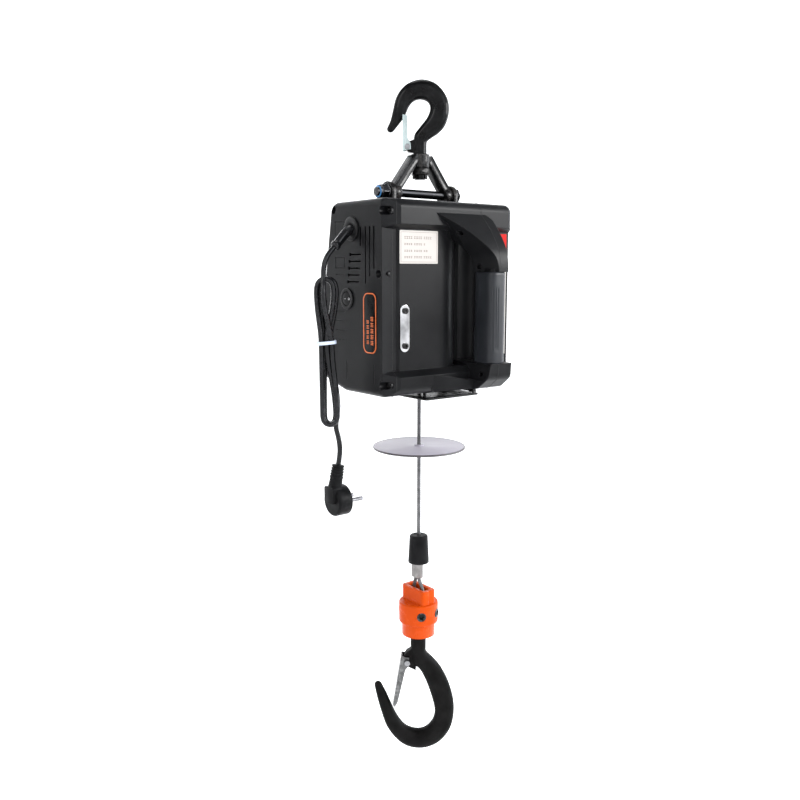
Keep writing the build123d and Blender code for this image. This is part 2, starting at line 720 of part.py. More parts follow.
FAN_BLADES = 9
with BuildPart() as cooling_fan:
    add(shaft_along_x(-64, -53, MOTOR_Y, MOTOR_Z, 8, ROTOR_SHAFT_R))
    add(shaft_along_x(-55, -53, MOTOR_Y, MOTOR_Z, 28, ROTOR_SHAFT_R))
    with BuildSketch(axis_plane(-64, MOTOR_Y, MOTOR_Z)):
        with PolarLocations(17, FAN_BLADES):
            Rectangle(20, 1.6)
    extrude(amount=9.5)
cooling_fan.part.label = "cooling_fan"
export_step(cooling_fan.part, "parts/cooling_fan.step")

with BuildPart() as motor_can:
    add(shaft_along_x(-40, PLATE_INNER, MOTOR_Y, MOTOR_Z, 32.5, 30))
    add(shaft_along_x(-40, -37, MOTOR_Y, MOTOR_Z, 32.5, 9))
motor_can.part.label = "motor_can"
export_step(motor_can.part, "parts/motor_can.step")

with BuildPart() as stator:
    add(shaft_along_x(-25, 25, MOTOR_Y, MOTOR_Z, 30, 15.6))
    add(shaft_along_x(-32, 32, MOTOR_Y, MOTOR_Z, 26, 18))
stator.part.label = "stator"
export_step(stator.part, "parts/stator.step")

# ---------------------------------------------------------------- electrical parts
with BuildPart() as capacitor:
    add(shaft_along_x(-78, -26, -34, -301, 14))
capacitor.part.label = "capacitor"
export_step(capacitor.part, "parts/capacitor.step")

with BuildPart() as control_board:
    with BuildSketch(Plane.YZ.offset(-72)):
        with Locations((20, -282)):
            Rectangle(66, 74)
    extrude(amount=1.6)
    for y, z, width, height, depth in ((6, -262, 19, 15, 10), (34, -268, 16, 16, 12), (14, -300, 40, 10, 9)):
        with BuildSketch(Plane.YZ.offset(-70.4)):
            with Locations((y, z)):
                Rectangle(width, height)
        extrude(amount=depth)
control_board.part.label = "control_board"
export_step(control_board.part, "parts/control_board.step")

with BuildPart() as switch_bezel:
    add(shaft_along_x(CASE_LEFT - 1.6, CASE_LEFT, ROCKER_Y, ROCKER_Z, 12.5, 8.6))
    add(shaft_along_x(CASE_LEFT, CASE_LEFT + 6, ROCKER_Y, ROCKER_Z, 10, 8.6))
    add(shaft_along_x(CASE_LEFT + 6, CASE_LEFT + 22, ROCKER_Y, ROCKER_Z, 10))
switch_bezel.part.label = "switch_bezel"
export_step(switch_bezel.part, "parts/switch_bezel.step")

ROCKER_PIVOT_X = CASE_LEFT + 2.5
ROCKER_TILT = 7.0
with BuildPart() as rocker_button:
    # At rest one side is pressed in; the button rocks about an upright axis.
    tilted = Plane(
        origin=(ROCKER_PIVOT_X, ROCKER_Y, ROCKER_Z),
        x_dir=(0, 0, 1),
        z_dir=(cos(radians(ROCKER_TILT)), sin(radians(ROCKER_TILT)), 0),
    )
    with BuildSketch(tilted.offset(-3.6)):
        Circle(7.9)
    extrude(amount=5)
rocker_button.part.label = "rocker_button"
export_step(rocker_button.part, "parts/rocker_button.step")

with BuildPart() as cable_gland:
    add(shaft_along_x(CASE_LEFT - 2, CASE_LEFT, GLAND_Y, GLAND_Z, 14, 6.2))
    add(shaft_along_x(CASE_LEFT, CASE_LEFT + 12, GLAND_Y, GLAND_Z, 9, 6.2))
    add(shaft_along_x(CASE_LEFT + WALL, CASE_LEFT + 7, GLAND_Y, GLAND_Z, 13, 9))
cable_gland.part.label = "cable_gland"
export_step(cable_gland.part, "parts/cable_gland.step")

BOOT_DROP = 49.0  # direction of the strain relief, degrees away from straight down
BOOT_END = (-125.0, 0.0, -175.0)
BOOT_DIR = (-sin(radians(BOOT_DROP)), 0, -cos(radians(BOOT_DROP)))
BOOT_LENGTH = 31.0
with BuildPart() as strain_relief:
    boot_start = tuple(end - BOOT_LENGTH * step for end, step in zip(BOOT_END, BOOT_DIR))
    with BuildSketch(Plane(origin=BOOT_END, x_dir=(0, 1, 0), z_dir=BOOT_DIR)):
        Circle(4.6)
    with BuildSketch(Plane(origin=boot_start, x_dir=(0, 1, 0), z_dir=BOOT_DIR)):
        Circle(6.1)
    loft()
    # A collar at the free end, and a straight root through the gland.
    with BuildSketch(Plane(origin=BOOT_END, x_dir=(0, 1, 0), z_dir=BOOT_DIR)):
        Circle(5.6)
    extrude(amount=-4)
    add(shaft_along_x(CASE_LEFT - 5, CASE_LEFT + 14, GLAND_Y, GLAND_Z, 6.1))
strain_relief.part.label = "strain_relief"
export_step(strain_relief.part, "parts/strain_relief.step")


# ---------------------------------------------------------------- power cord
def corner_radii(points):
    """Largest tangent arcs that fit the runs: 0.45 of the shorter run at each corner."""
    radii = []
    for before, corner, after in zip(points, points[1:], points[2:]):
        run_in = Vector(*corner) - Vector(*before)
        run_out = Vector(*after) - Vector(*corner)
        half_turn = radians(run_in.get_angle(run_out) / 2)
        radii.append(0.45 * min(run_in.length, run_out.length) / tan(half_turn))
    return radii


def cord_tube(name, points):
    """Round tube along a hand-laid route; its radii and volume are printed as a check."""
    radii = corner_radii(points)
    with BuildPart() as tube:
        with BuildLine() as route:
            FilletPolyline(*points, radius=radii)
        with BuildSketch(Plane(origin=points[0], z_dir=Vector(*points[1]) - Vector(*points[0]))):
            Circle(CORD_R)
        sweep(path=route.wires()[0])
    length = route.wires()[0].length
    ratio = tube.part.volume / (pi * CORD_R**2 * length)
    print(name, "radii", [round(r) for r in radii], "length", round(length), "volume ratio", round(ratio, 3))
    return tube.part


LEAD_ROUTE = [
    BOOT_END,
    (-131.8, 0.2, -180.9),
    (-137.2, 0.6, -189.3),
    (-139.6, 0.8, -199.0),
    (-140.0, 0.8, -209.0),
]
TAIL_ROUTE = [
    (-128.0, -2.0, -381.0),
    (-124.6, -3.0, -393.0),
    (-122.6, -3.2, -405.0),
    (-122.4, -2.6, -416.5),
    (-124.0, -1.4, -427.5),
]
with BuildPart() as power_cord_lead:
    add(cord_tube("lead", LEAD_ROUTE))
power_cord_lead.part.label = "power_cord_lead"
export_step(power_cord_lead.part, "parts/power_cord_lead.step")

HANK_X = -137.0
HANK_TOP, HANK_TIE, HANK_LOW = -209.0, -283.0, -381.0
with BuildPart() as cord_hank:
    for z, width, depth in (
        (HANK_LOW, 22, 13),
        (HANK_LOW + 16, 25, 18),
        (HANK_TIE - 8, 21, 19),
        (HANK_TIE + 8, 21, 19),
        (HANK_TOP - 16, 28, 18),
        (HANK_TOP, 23, 12),
    ):
        with BuildSketch(Plane(origin=(HANK_X, 0, z), x_dir=HOOK_PLANE.x_dir, z_dir=(0, 0, 1))):
            Ellipse(width / 2, depth / 2)
    loft(ruled=True)
cord_hank.part.label = "cord_hank"
export_step(cord_hank.part, "parts/cord_hank.step")

with BuildPart() as cord_tie:
    with BuildSketch(Plane(origin=(HANK_X, 0, HANK_TIE - 2.5), x_dir=HOOK_PLANE.x_dir, z_dir=(0, 0, 1))):
        Ellipse(12.0, 11.0)
        Ellipse(10.55, 9.55, mode=Mode.SUBTRACT)
    extrude(amount=5)
cord_tie.part.label = "cord_tie"
export_step(cord_tie.part, "parts/cord_tie.step")

with BuildPart() as power_cord_tail:
    add(cord_tube("tail", TAIL_ROUTE))
power_cord_tail.part.label = "power_cord_tail"
export_step(power_cord_tail.part, "parts/power_cord_tail.step")

PLUG_X0, PLUG_X1 = -133.0, -115.0
PLUG_Z = -471.0
PLUG_R = 18.0
PLUG_BOOT_END = (-128.4, -0.4, -455.0)
with BuildPart() as plug:
    add(shaft_along_x(PLUG_X0, PLUG_X1, 0, PLUG_Z, PLUG_R))
    fillet(plug.edges().filter_by(GeomType.CIRCLE).group_by(Axis.X)[0], 3)
    # Square housing on the back where the cord comes in.
    with BuildSketch(Plane.YZ.offset(PLUG_X0 - 4)):
        with Locations((0, PLUG_Z + 8)):
            RectangleRounded(19, 20, 2.5)
    extrude(amount=12)
    # Tapered, ribbed boot towards the cord.
    boot_top = TAIL_ROUTE[-1]
    boot_axis = Vector(*boot_top) - Vector(*PLUG_BOOT_END)
    boot_length = boot_axis.length
    boot_plane = Plane(origin=PLUG_BOOT_END, x_dir=(1, 0, boot_axis.X / -boot_axis.Z), z_dir=boot_axis)
    with BuildSketch(boot_plane):
        Circle(8.4)
    with BuildSketch(boot_plane.offset(boot_length)):
        Circle(6.2)
    loft()
    for rib in range(5):
        with BuildSketch(boot_plane.offset(boot_length - 2.2 - 3.3 * rib)):
            Circle(7.4 + 0.15 * rib)
        extrude(amount=1.6)
    # Two round contact pins.
    with BuildSketch(Plane.YZ.offset(PLUG_X1)):
        with Locations((-9.5, PLUG_Z), (9.5, PLUG_Z)):
            Circle(2.4)
    extrude(amount=19)
plug.part.label = "plug"
export_step(plug.part, "parts/plug.step")

# ---------------------------------------------------------------- labels and badge
with BuildPart() as rating_label:
    with BuildSketch(Plane.XZ.offset(-WAIST_Y)):
        with Locations((-47, -175)):
            RectangleRounded(56, 37, 1)
    extrude(amount=0.4)
rating_label.part.label = "rating_label"
export_step(rating_label.part, "parts/rating_label.step")

with BuildPart() as warning_label:
    with BuildSketch(Plane.XZ.offset(-WAIST_Y)):
        with Locations((79, -208)):
            RectangleRounded(20, 100, 1)
        with Locations((79, -283)):
            RectangleRounded(20, 44, 1)
    extrude(amount=0.4)
warning_label.part.label = "warning_label"
export_step(warning_label.part, "parts/warning_label.step")

with BuildPart() as badge:
    with BuildSketch(Plane.YZ.offset(CASE_LEFT + 0.8)):
        with Locations((BADGE_Y, BADGE_Z)):
            RectangleRounded(BADGE_W - 0.6, BADGE_H - 0.6, BADGE_R - 0.3)
    extrude(amount=-1.2)
badge.part.label = "badge"
export_step(badge.part, "parts/badge.step")

with BuildPart() as chrome_strip:
    with BuildSketch(Plane.XZ.offset(-WAIST_Y)):
        with Locations((STRIP_X, STRIP_Z)):
            SlotOverall(54, 13.5, rotation=90)
    extrude(amount=1.6)
    fillet(chrome_strip.faces().sort_by(Axis.Y)[0].edges(), 0.6)
chrome_strip.part.label = "chrome_strip"
export_step(chrome_strip.part, "parts/chrome_strip.step")

# ---------------------------------------------------------------- underside
LIMIT_X0, LIMIT_X1 = -30.0, 56.0
LIMIT_Y0, LIMIT_Y1 = -50.0, 27.0
HINGE_X, HINGE_Z = 51.0, -349.5
with BuildPart() as bottom_plate:
    with BuildSketch(Plane.XY.offset(CASE_BOTTOM - 2.5)):
        with BuildLine():
            Polyline(
                (LIMIT_X0 + 4, LIMIT_Y0 + 6),
                (LIMIT_X1, LIMIT_Y0 + 6),
                (LIMIT_X1, 18),
                (LIMIT_X0 + 4, 18),
                close=True,
            )
        make_face()
        Circle(11.1, mode=Mode.SUBTRACT)
        with Locations((ACTUATOR_X, ACTUATOR_Y)):
            Circle(3.4, mode=Mode.SUBTRACT)
    extrude(amount=2.5)
    for y0 in (LIMIT_Y0 + 9, 12):
        with BuildSketch(Plane.XZ.offset(-y0 - 3)):
            with Locations((HINGE_X, HINGE_Z + 2)):
                Rectangle(6, 5.5)
            with Locations((HINGE_X, HINGE_Z)):
                Circle(2.6)
                Circle(1.56, mode=Mode.SUBTRACT)
        extrude(amount=3)
bottom_plate.part.label = "bottom_plate"
export_step(bottom_plate.part, "parts/bottom_plate.step")

with BuildPart() as rope_guide:
    with BuildSketch(Plane.XY.offset(CASE_BOTTOM - 5)):
        Circle(14)
        Circle(4, mode=Mode.SUBTRACT)
    extrude(amount=2.5)
    with BuildSketch(Plane.XY.offset(CASE_BOTTOM - 2.5)):
        Circle(11)
        Circle(4, mode=Mode.SUBTRACT)
    extrude(amount=10)
rope_guide.part.label = "rope_guide"
export_step(rope_guide.part, "parts/rope_guide.step")

with BuildPart() as limit_lever:
    with BuildSketch(Plane.XY.offset(-354.5)):
        with BuildLine():
            FilletPolyline(
                (LIMIT_X0, LIMIT_Y0),
                (LIMIT_X1, LIMIT_Y0),
                (LIMIT_X1, LIMIT_Y1),
                (LIMIT_X0, LIMIT_Y1),
                radius=4,
                close=True,
            )
        make_face()
        Circle(8, mode=Mode.SUBTRACT)
    extrude(amount=2)
    # Pin that enters the limit switch when the lever is lifted.
    with BuildSketch(Plane.XY.offset(-355.5)):
        with Locations((ACTUATOR_X, ACTUATOR_Y)):
            Circle(3.2)
    extrude(amount=1)
    with BuildSketch(Plane.XY.offset(-353.5)):
        with Locations((ACTUATOR_X, ACTUATOR_Y)):
            Circle(2)
    extrude(amount=11)
    for y0 in (LIMIT_Y0 + 3, 21):
        with BuildSketch(Plane.XZ.offset(-y0 - 2)):
            with Locations((HINGE_X, HINGE_Z - 1.5)):
                Rectangle(5, 4)
            with Locations((HINGE_X, HINGE_Z)):
                Circle(2.5)
        extrude(amount=2)
    with BuildSketch(Plane.XZ.offset(-23)):
        with Locations((HINGE_X, HINGE_Z)):
            Circle(1.5)
    extrude(amount=70)
limit_lever.part.label = "limit_lever"
export_step(limit_lever.part, "parts/limit_lever.step")

with BuildPart() as limit_switch:
    with BuildSketch(Plane.XY.offset(CASE_BOTTOM + WALL)):
        with Locations((ACTUATOR_X, ACTUATOR_Y)):
            Rectangle(18, 26)
    extrude(amount=16)
    with BuildSketch(Plane.XY.offset(CASE_BOTTOM + WALL)):
        with Locations((ACTUATOR_X, ACTUATOR_Y)):
            Circle(3.4)
    extrude(amount=8, mode=Mode.SUBTRACT)
limit_switch.part.label = "limit_switch"
export_step(limit_switch.part, "parts/limit_switch.step")

# ---------------------------------------------------------------- top hook
TOP_SHANK_R = 8.0
TOP_THREAD_R = 6.5
BOSS_TOP, BOSS_LOW = -63.5, -79.0
with BuildPart() as top_hook:
    with BuildSketch(HOOK_PLANE.offset(-8.5)):
        with BuildLine():
            Spline(
                (-39.5, -31),
                (-33.3, -14),
                (-20, 15),
                (2, 23.5),
                (25, 13.5),
                (36, -10),
                (28, -34),
                (9, -47),
                tangents=[(0.45, 1), (-1, -0.25)],
            )
            Polyline((9, -47), (9, -51), (-9, -51), (-7.5, -40))
            Spline(
                (-7.5, -40),
                (8.6, -22.5),
                (12.7, -11),
                (0, 0),
                (-12.5, -8.5),
                (-19, -20),
                (-29, -34),
                tangents=[(1, 1), (-0.8, -0.8)],
            )
            ThreePointArc((-29, -34), (-37.5, -37.5), (-39.5, -31))
        make_face()
    extrude(amount=17)
    fillet(top_hook.faces().filter_by(HOOK_PLANE).edges(), 4)
    # Flats on the tip, where the latch straddles it.
    for start in (-11, 6):
        with BuildSketch(HOOK_PLANE.offset(start)):
            with Locations((-28, -30)):
                Rectangle(30, 30)
        extrude(amount=5, mode=Mode.SUBTRACT)
    # Lug for the latch pin.
    with BuildSketch(HOOK_PLANE.offset(-5.5)):
        with BuildLine():
            FilletPolyline((-4, -46), (-16, -49), (-19, -55), (-14, -61), (-4, -62), radius=[0, 3, 4, 3, 0], close=True)
        make_face()
    extrude(amount=11)
    with BuildSketch(Plane.XY.offset(BOSS_TOP + 0.3)):
        Circle(TOP_SHANK_R)
    extrude(amount=18)
    with BuildSketch(Plane.XY.offset(-97)):
        Circle(TOP_THREAD_R)
    extrude(amount=97 + BOSS_TOP + 1)
    with BuildSketch(HOOK_PLANE.offset(-20)):
        with Locations((-15, -55)):
            Circle(1.9)
    extrude(amount=40, mode=Mode.SUBTRACT)
top_hook.part.label = "top_hook"
export_step(top_hook.part, "parts/top_hook.step")

with BuildPart() as top_hook_nut:
    with BuildSketch(Plane.XY.offset(BOSS_LOW - 8.5)):
        RegularPolygon(10, 6, major_radius=False)
        Circle(TOP_THREAD_R, mode=Mode.SUBTRACT)
    extrude(amount=8.2)
    with BuildSketch(Plane.XY.offset(BOSS_LOW - 13)):
        Circle(9)
        Circle(TOP_THREAD_R, mode=Mode.SUBTRACT)
        with PolarLocations(8, 6, start_angle=30):
            Rectangle(5, 2.6, mode=Mode.SUBTRACT)
    extrude(amount=4.5)
top_hook_nut.part.label = "top_hook_nut"
export_step(top_hook_nut.part, "parts/top_hook_nut.step")

with BuildPart() as top_latch_pin:
    with BuildSketch(HOOK_PLANE.offset(-9.2)):
        with Locations((-15, -55)):
            Circle(1.8)
    extrude(amount=18.4)
    for start in (-10.2, 8.2):
        with BuildSketch(HOOK_PLANE.offset(start)):
            with Locations((-15, -55)):
                Circle(3)
        extrude(amount=2)
top_latch_pin.part.label = "top_latch_pin"
export_step(top_latch_pin.part, "parts/top_latch_pin.step")


def latch(side_points, web_points, pin_at, pin_hole_r, half_width):
    """Sheet-metal latch: two side plates, a web between them and a hole for its pin."""
    with BuildPart() as channel:
        for start in (-half_width, half_width - 1.5):
            with BuildSketch(HOOK_PLANE.offset(start)):
                with BuildLine():
                    Polyline(*side_points, close=True)
                make_face()
            extrude(amount=1.5)
        with BuildSketch(HOOK_PLANE.offset(-half_width)):
            with BuildLine():
                Polyline(*web_points, close=True)
            make_face()
        extrude(amount=2 * half_width)
        with BuildSketch(HOOK_PLANE.offset(-20)):
            with Locations(pin_at):
                Circle(pin_hole_r)
        extrude(amount=40, mode=Mode.SUBTRACT)
    return channel.part


with BuildPart() as top_latch:
    add(
        latch(
            [(-21, -18), (-15.5, -19), (-15, -45), (-11.5, -51), (-11, -58), (-20.5, -59), (-21.3, -40)],
            [(-21.2, -29), (-19.7, -29), (-19.6, -48), (-21.2, -48)],
            (-15, -55),
            1.86,
            7.8,
        )
    )
top_latch.part.label = "top_latch"
export_step(top_latch.part, "parts/top_latch.step")

# ---------------------------------------------------------------- yoke
EYE_R = 10.5
EYE_X0, EYE_X1 = 35.0, 44.5
with BuildPart() as yoke:
    with BuildSketch(Plane.XZ.offset(-7.5)):
        for side in (-1, 1):
            with BuildLine():
                Polyline(
                    (side * 6, -66),
                    (side * 13, -64.5),
                    (side * 44.5, -105),
                    (side * 44.5, AXLE_Z),
                    (side * 35, AXLE_Z),
                    (side * 35, -108),
                    (side * 12.3, -78.5),
                    close=True,
                )
            make_face()
    extrude(amount=15)
    with BuildSketch(Plane.XY.offset(BOSS_LOW)):
        Circle(11.5)
    extrude(amount=BOSS_TOP - BOSS_LOW)
    add(shaft_along_x(-EYE_X1, -EYE_X0, 0, AXLE_Z, EYE_R))
    add(shaft_along_x(EYE_X0, EYE_X1, 0, AXLE_Z, EYE_R))
    with BuildSketch(Plane.XY.offset(BOSS_LOW - 5)):
        Circle(TOP_THREAD_R + RUNNING)
    extrude(amount=30, mode=Mode.SUBTRACT)
    add(shaft_along_x(-60, 60, 0, AXLE_Z, AXLE_R + RUNNING), mode=Mode.SUBTRACT)
yoke.part.label = "yoke"
export_step(yoke.part, "parts/yoke.step")

# ---------------------------------------------------------------- rope and load block
STOP_TOP, STOP_LOW = -538.0, -574.5
FERRULE_LOW = -595.0
PIN_Z = -634.0
EYE_HALF = 9.6
with BuildPart() as rope_fall:
    # Straight run from the drum's tangent point to the stop sleeve; it lengthens as the hook goes down.
    with BuildSketch(Plane.XY.offset(STOP_TOP)):
        Circle(ROPE_R)
    extrude(amount=DRUM_Z - STOP_TOP)
rope_fall.part.label = "rope_fall"
export_step(rope_fall.part, "parts/rope_fall.step")

with BuildPart() as rope_eye:
    # The rope runs down through sleeve and ferrule, round the pin and back up into the ferrule.
    rope_points = [
        (0, 0, STOP_TOP),
        (0, 0, FERRULE_LOW - 1),
        (0, -EYE_HALF, -612),
        (0, -EYE_HALF, PIN_Z - EYE_HALF),
        (0, EYE_HALF + 0.4, PIN_Z - EYE_HALF),
        (0, EYE_HALF + 0.4, -612),
        (0, 5.4, FERRULE_LOW - 1),
        (0, 5.4, STOP_LOW - 1),
    ]
    with BuildLine() as rope_route:
        FilletPolyline(*rope_points, radius=[9, 9, 9.4, 9.4, 9, 9])
    with BuildSketch(Plane.XY.offset(STOP_TOP)):
        Circle(ROPE_R)
    sweep(path=rope_route.wires()[0])
rope_eye.part.label = "rope_eye"
export_step(rope_eye.part, "parts/rope_eye.step")

with BuildPart() as rubber_stop:
    with BuildSketch(Plane.XY.offset(STOP_TOP)):
        Circle(11.6)
    with BuildSketch(Plane.XY.offset(STOP_LOW)):
        Circle(13.4)
    loft()
    fillet(rubber_stop.faces().sort_by(Axis.Z)[-1].edges(), 2)
    with BuildSketch(Plane.XY.offset(STOP_LOW - 1)):
        Circle(ROPE_R)
    extrude(amount=60, mode=Mode.SUBTRACT)
rubber_stop.part.label = "rubber_stop"
export_step(rubber_stop.part, "parts/rubber_stop.step")

with BuildPart() as rope_ferrule:
    with BuildSketch(Plane.XY.offset(FERRULE_LOW)):
        with Locations((0, -0.6), (0, 6.0)):
            Circle(5.4)
        with Locations((0, 2.7)):
            Rectangle(8, 6.6)
        with Locations((0, 0), (0, 5.4)):
            Circle(ROPE_R, mode=Mode.SUBTRACT)
    extrude(amount=STOP_LOW - FERRULE_LOW)
rope_ferrule.part.label = "rope_ferrule"
export_step(rope_ferrule.part, "parts/rope_ferrule.step")

BLOCK_TOP, FLANGE_TOP, FLANGE_LOW, BLOCK_LOW = -608.0, -626.0, -654.0, -671.0
SHANK_R = 10.0
SCREW_ANGLES = (60, 120, 240, 300)
with BuildPart() as block_form:
    with BuildSketch(Plane.XY.offset(FLANGE_LOW)):
        Circle(25.5)
    extrude(amount=FLANGE_TOP - FLANGE_LOW)
    fillet(block_form.edges().filter_by(GeomType.CIRCLE), 2.5)
    with BuildSketch(Plane.XY.offset(BLOCK_LOW)):
        Circle(21.5)
    extrude(amount=20)
    with BuildSketch(Plane.XY.offset(FLANGE_TOP - 4)):
        RectangleRounded(22, 43, 4)
    extrude(amount=BLOCK_TOP - FLANGE_TOP + 4)
    # Slot for the rope eye, pocket for the hook nut and hole for the shank.
    with BuildSketch(Plane.XY.offset(-648)):
        RectangleRounded(11, 33, 3)
    extrude(amount=60, mode=Mode.SUBTRACT)
    with BuildSketch(Plane.XY.offset(-664)):
        Circle(16)
    extrude(amount=14.5, mode=Mode.SUBTRACT)
    with BuildSketch(Plane.XY.offset(BLOCK_LOW - 1)):
        Circle(SHANK_R + 0.4)
    extrude(amount=12, mode=Mode.SUBTRACT)
    # Seat of the rope pin and holes of the radial screws.
    add(shaft_along_x(-17, 17, 0.2, PIN_Z, 6.6), mode=Mode.SUBTRACT)
    for angle in SCREW_ANGLES:
        direction = (cos(radians(angle)), sin(radians(angle)), 0)
        with BuildSketch(Plane(origin=tuple(18 * step for step in direction[:2]) + (-640,), z_dir=direction)):
            Circle(4.1)
        extrude(amount=12, mode=Mode.SUBTRACT)

with BuildPart() as block_left_half:
    add(block_form.part)
    split(bisect_by=Plane.YZ, keep=Keep.BOTTOM)
block_left_half.part.label = "block_left_half"
export_step(block_left_half.part, "parts/block_left_half.step")

with BuildPart() as block_right_half:
    add(block_form.part)
    split(bisect_by=Plane.YZ, keep=Keep.TOP)
block_right_half.part.label = "block_right_half"
export_step(block_right_half.part, "parts/block_right_half.step")

with BuildPart() as block_screws:
    for angle in SCREW_ANGLES:
        direction = (cos(radians(angle)), sin(radians(angle)), 0)
        start = tuple(18 * step for step in direction[:2]) + (-640,)
        with BuildSketch(Plane(origin=start, z_dir=direction)):
            Circle(4)
        extrude(amount=8.2)
        tip = tuple(26.2 * step for step in direction[:2]) + (-640,)
        with BuildSketch(Plane(origin=tip, z_dir=direction)):
            RegularPolygon(2.2, 6)
        extrude(amount=-3, mode=Mode.SUBTRACT)
block_screws.part.label = "block_screws"
export_step(block_screws.part, "parts/block_screws.step")

with BuildPart() as rope_pin:
    add(shaft_along_x(-17, 17, 0.2, PIN_Z, 6.6))
rope_pin.part.label = "rope_pin"
export_step(rope_pin.part, "parts/rope_pin.step")

with BuildPart() as limit_disc:
    with BuildSketch(Plane.XY.offset(DISC_Z - 1)):
        Circle(DISC_R)
        Circle(4, mode=Mode.SUBTRACT)
    extrude(amount=2)
    # Bush that slides on the rope.
    with BuildSketch(Plane.XY.offset(DISC_Z - 3)):
        Circle(6)
        Circle(ROPE_R + RUNNING, mode=Mode.SUBTRACT)
    extrude(amount=6)
limit_disc.part.label = "limit_disc"
export_step(limit_disc.part, "parts/limit_disc.step")

# ---------------------------------------------------------------- load hook
LOAD_PIN = (-14.6, -709.5)
with BuildPart() as load_hook:
    with BuildSketch(HOOK_PLANE.offset(-9.5)):
        with BuildLine():
            Spline(
                (10, -697),
                (33.5, -732),
                (47.5, -772),
                (44, -803),
                (29, -824),
                (2, -834.5),
                (-27, -822),
                (-46, -790),
                (-58.5, -745),
                tangents=[(0.3, -1), (-0.25, 1)],
            )
            ThreePointArc((-58.5, -745), (-54.5, -736.5), (-48, -742.5))
            Spline(
                (-48, -742.5),
                (-33.5, -772),
                (-18, -799),
                (3, -806),
                (18.5, -794.5),
                (20.5, -777),
                (5, -727),
                tangents=[(0.45, -1), (-0.35, 1)],
            )
            Polyline((5, -727), (-10, -718), (-10, -690), (10, -690), (10, -697))
        make_face()
    extrude(amount=19)
    fillet(load_hook.faces().filter_by(HOOK_PLANE).edges(), 5)
    with BuildSketch(HOOK_PLANE.offset(-6)):
        with BuildLine():
            FilletPolyline(
                (-6, -690),
                (-16.5, -697),
                (-19, -709),
                (-14.5, -716.6),
                (0, -722),
                radius=[0, 3, 4, 3, 0],
                close=True,
            )
        make_face()
    extrude(amount=12)
    with BuildSketch(Plane.XY.offset(-697)):
        Circle(SHANK_R)
    extrude(amount=697 - 663.4)
    with BuildSketch(Plane.XY.offset(-664)):
        Circle(7.5)
    extrude(amount=13)
    with BuildSketch(HOOK_PLANE.offset(-20)):
        with Locations(LOAD_PIN):
            Circle(2.1)
    extrude(amount=40, mode=Mode.SUBTRACT)
load_hook.part.label = "load_hook"
export_step(load_hook.part, "parts/load_hook.step")

with BuildPart() as load_hook_nut:
    with BuildSketch(Plane.XY.offset(-663.4)):
        Circle(14.5)
        Circle(7.5, mode=Mode.SUBTRACT)
    extrude(amount=11.5)
load_hook_nut.part.label = "load_hook_nut"
export_step(load_hook_nut.part, "parts/load_hook_nut.step")

with BuildPart() as load_latch_pin:
    with BuildSketch(HOOK_PLANE.offset(-9.5)):
        with Locations(LOAD_PIN):
            Circle(2)
    extrude(amount=19)
    for start in (-10.7, 8.7):
        with BuildSketch(HOOK_PLANE.offset(start)):
            with Locations(LOAD_PIN):
                Circle(3.6)
        extrude(amount=2)
load_latch_pin.part.label = "load_latch_pin"
export_step(load_latch_pin.part, "parts/load_latch_pin.step")

with BuildPart() as load_latch:
    add(
        latch(
            [(-22.5, -701), (-12, -703), (-12.4, -714), (-17, -720), (-27, -765), (-31, -772.5), (-33.4, -769.5)],
            [(-22.5, -701), (-21, -701), (-31.6, -769), (-33.4, -769.5)],
            LOAD_PIN,
            2.06,
            8.2,
        )
    )
load_latch.part.label = "load_latch"
export_step(load_latch.part, "parts/load_latch.step")
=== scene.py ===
"""Looks of the electric wire rope hoist: cord, materials, fine shapes, light and camera."""

import json
from math import cos, pi, radians, sin

import bmesh
import bpy
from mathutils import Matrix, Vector


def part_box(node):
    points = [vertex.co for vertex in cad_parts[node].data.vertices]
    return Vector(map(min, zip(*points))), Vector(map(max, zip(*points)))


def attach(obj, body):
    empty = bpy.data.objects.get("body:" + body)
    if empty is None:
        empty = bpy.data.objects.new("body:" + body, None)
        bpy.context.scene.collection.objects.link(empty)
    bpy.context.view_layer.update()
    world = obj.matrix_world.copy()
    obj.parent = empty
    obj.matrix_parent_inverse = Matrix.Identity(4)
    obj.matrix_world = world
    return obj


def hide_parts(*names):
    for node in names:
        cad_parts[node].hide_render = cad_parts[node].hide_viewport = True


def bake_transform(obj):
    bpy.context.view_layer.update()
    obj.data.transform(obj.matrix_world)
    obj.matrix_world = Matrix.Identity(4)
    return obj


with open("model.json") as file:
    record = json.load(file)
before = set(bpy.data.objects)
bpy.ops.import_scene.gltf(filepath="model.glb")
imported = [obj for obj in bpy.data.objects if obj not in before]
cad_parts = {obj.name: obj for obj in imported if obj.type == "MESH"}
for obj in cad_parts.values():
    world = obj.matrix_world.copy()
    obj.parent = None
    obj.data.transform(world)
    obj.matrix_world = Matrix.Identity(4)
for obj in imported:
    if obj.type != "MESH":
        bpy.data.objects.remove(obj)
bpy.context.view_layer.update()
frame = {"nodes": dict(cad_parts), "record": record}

nodes = frame["nodes"]
scene = bpy.context.scene

MM = 0.001
HOOK_TURN = radians(38)
RIGHT = Vector((cos(HOOK_TURN), -sin(HOOK_TURN), 0))  # along both hooks' faces
FRONT = Vector((-sin(HOOK_TURN), -cos(HOOK_TURN), 0))  # out of both hooks' faces
UP = Vector((0, 0, 1))


def mm(x, y, z):
    return Vector((x, y, z)) * MM


def hook_point(across, height, out=0.0):
    """A point in millimetres on the plane of the hooks, moved out of it towards the front."""
    return (RIGHT * across + UP * height + FRONT * out) * MM


# ---------------------------------------------------------------- camera, light, floor
CAMERA_AT = (-0.6654, -0.8126, -0.2007)
CAMERA_TURN = (radians(81.25), 0, radians(-38))  # up from straight down, then about the vertical
LENS_MM, SENSOR_MM = 38, 36

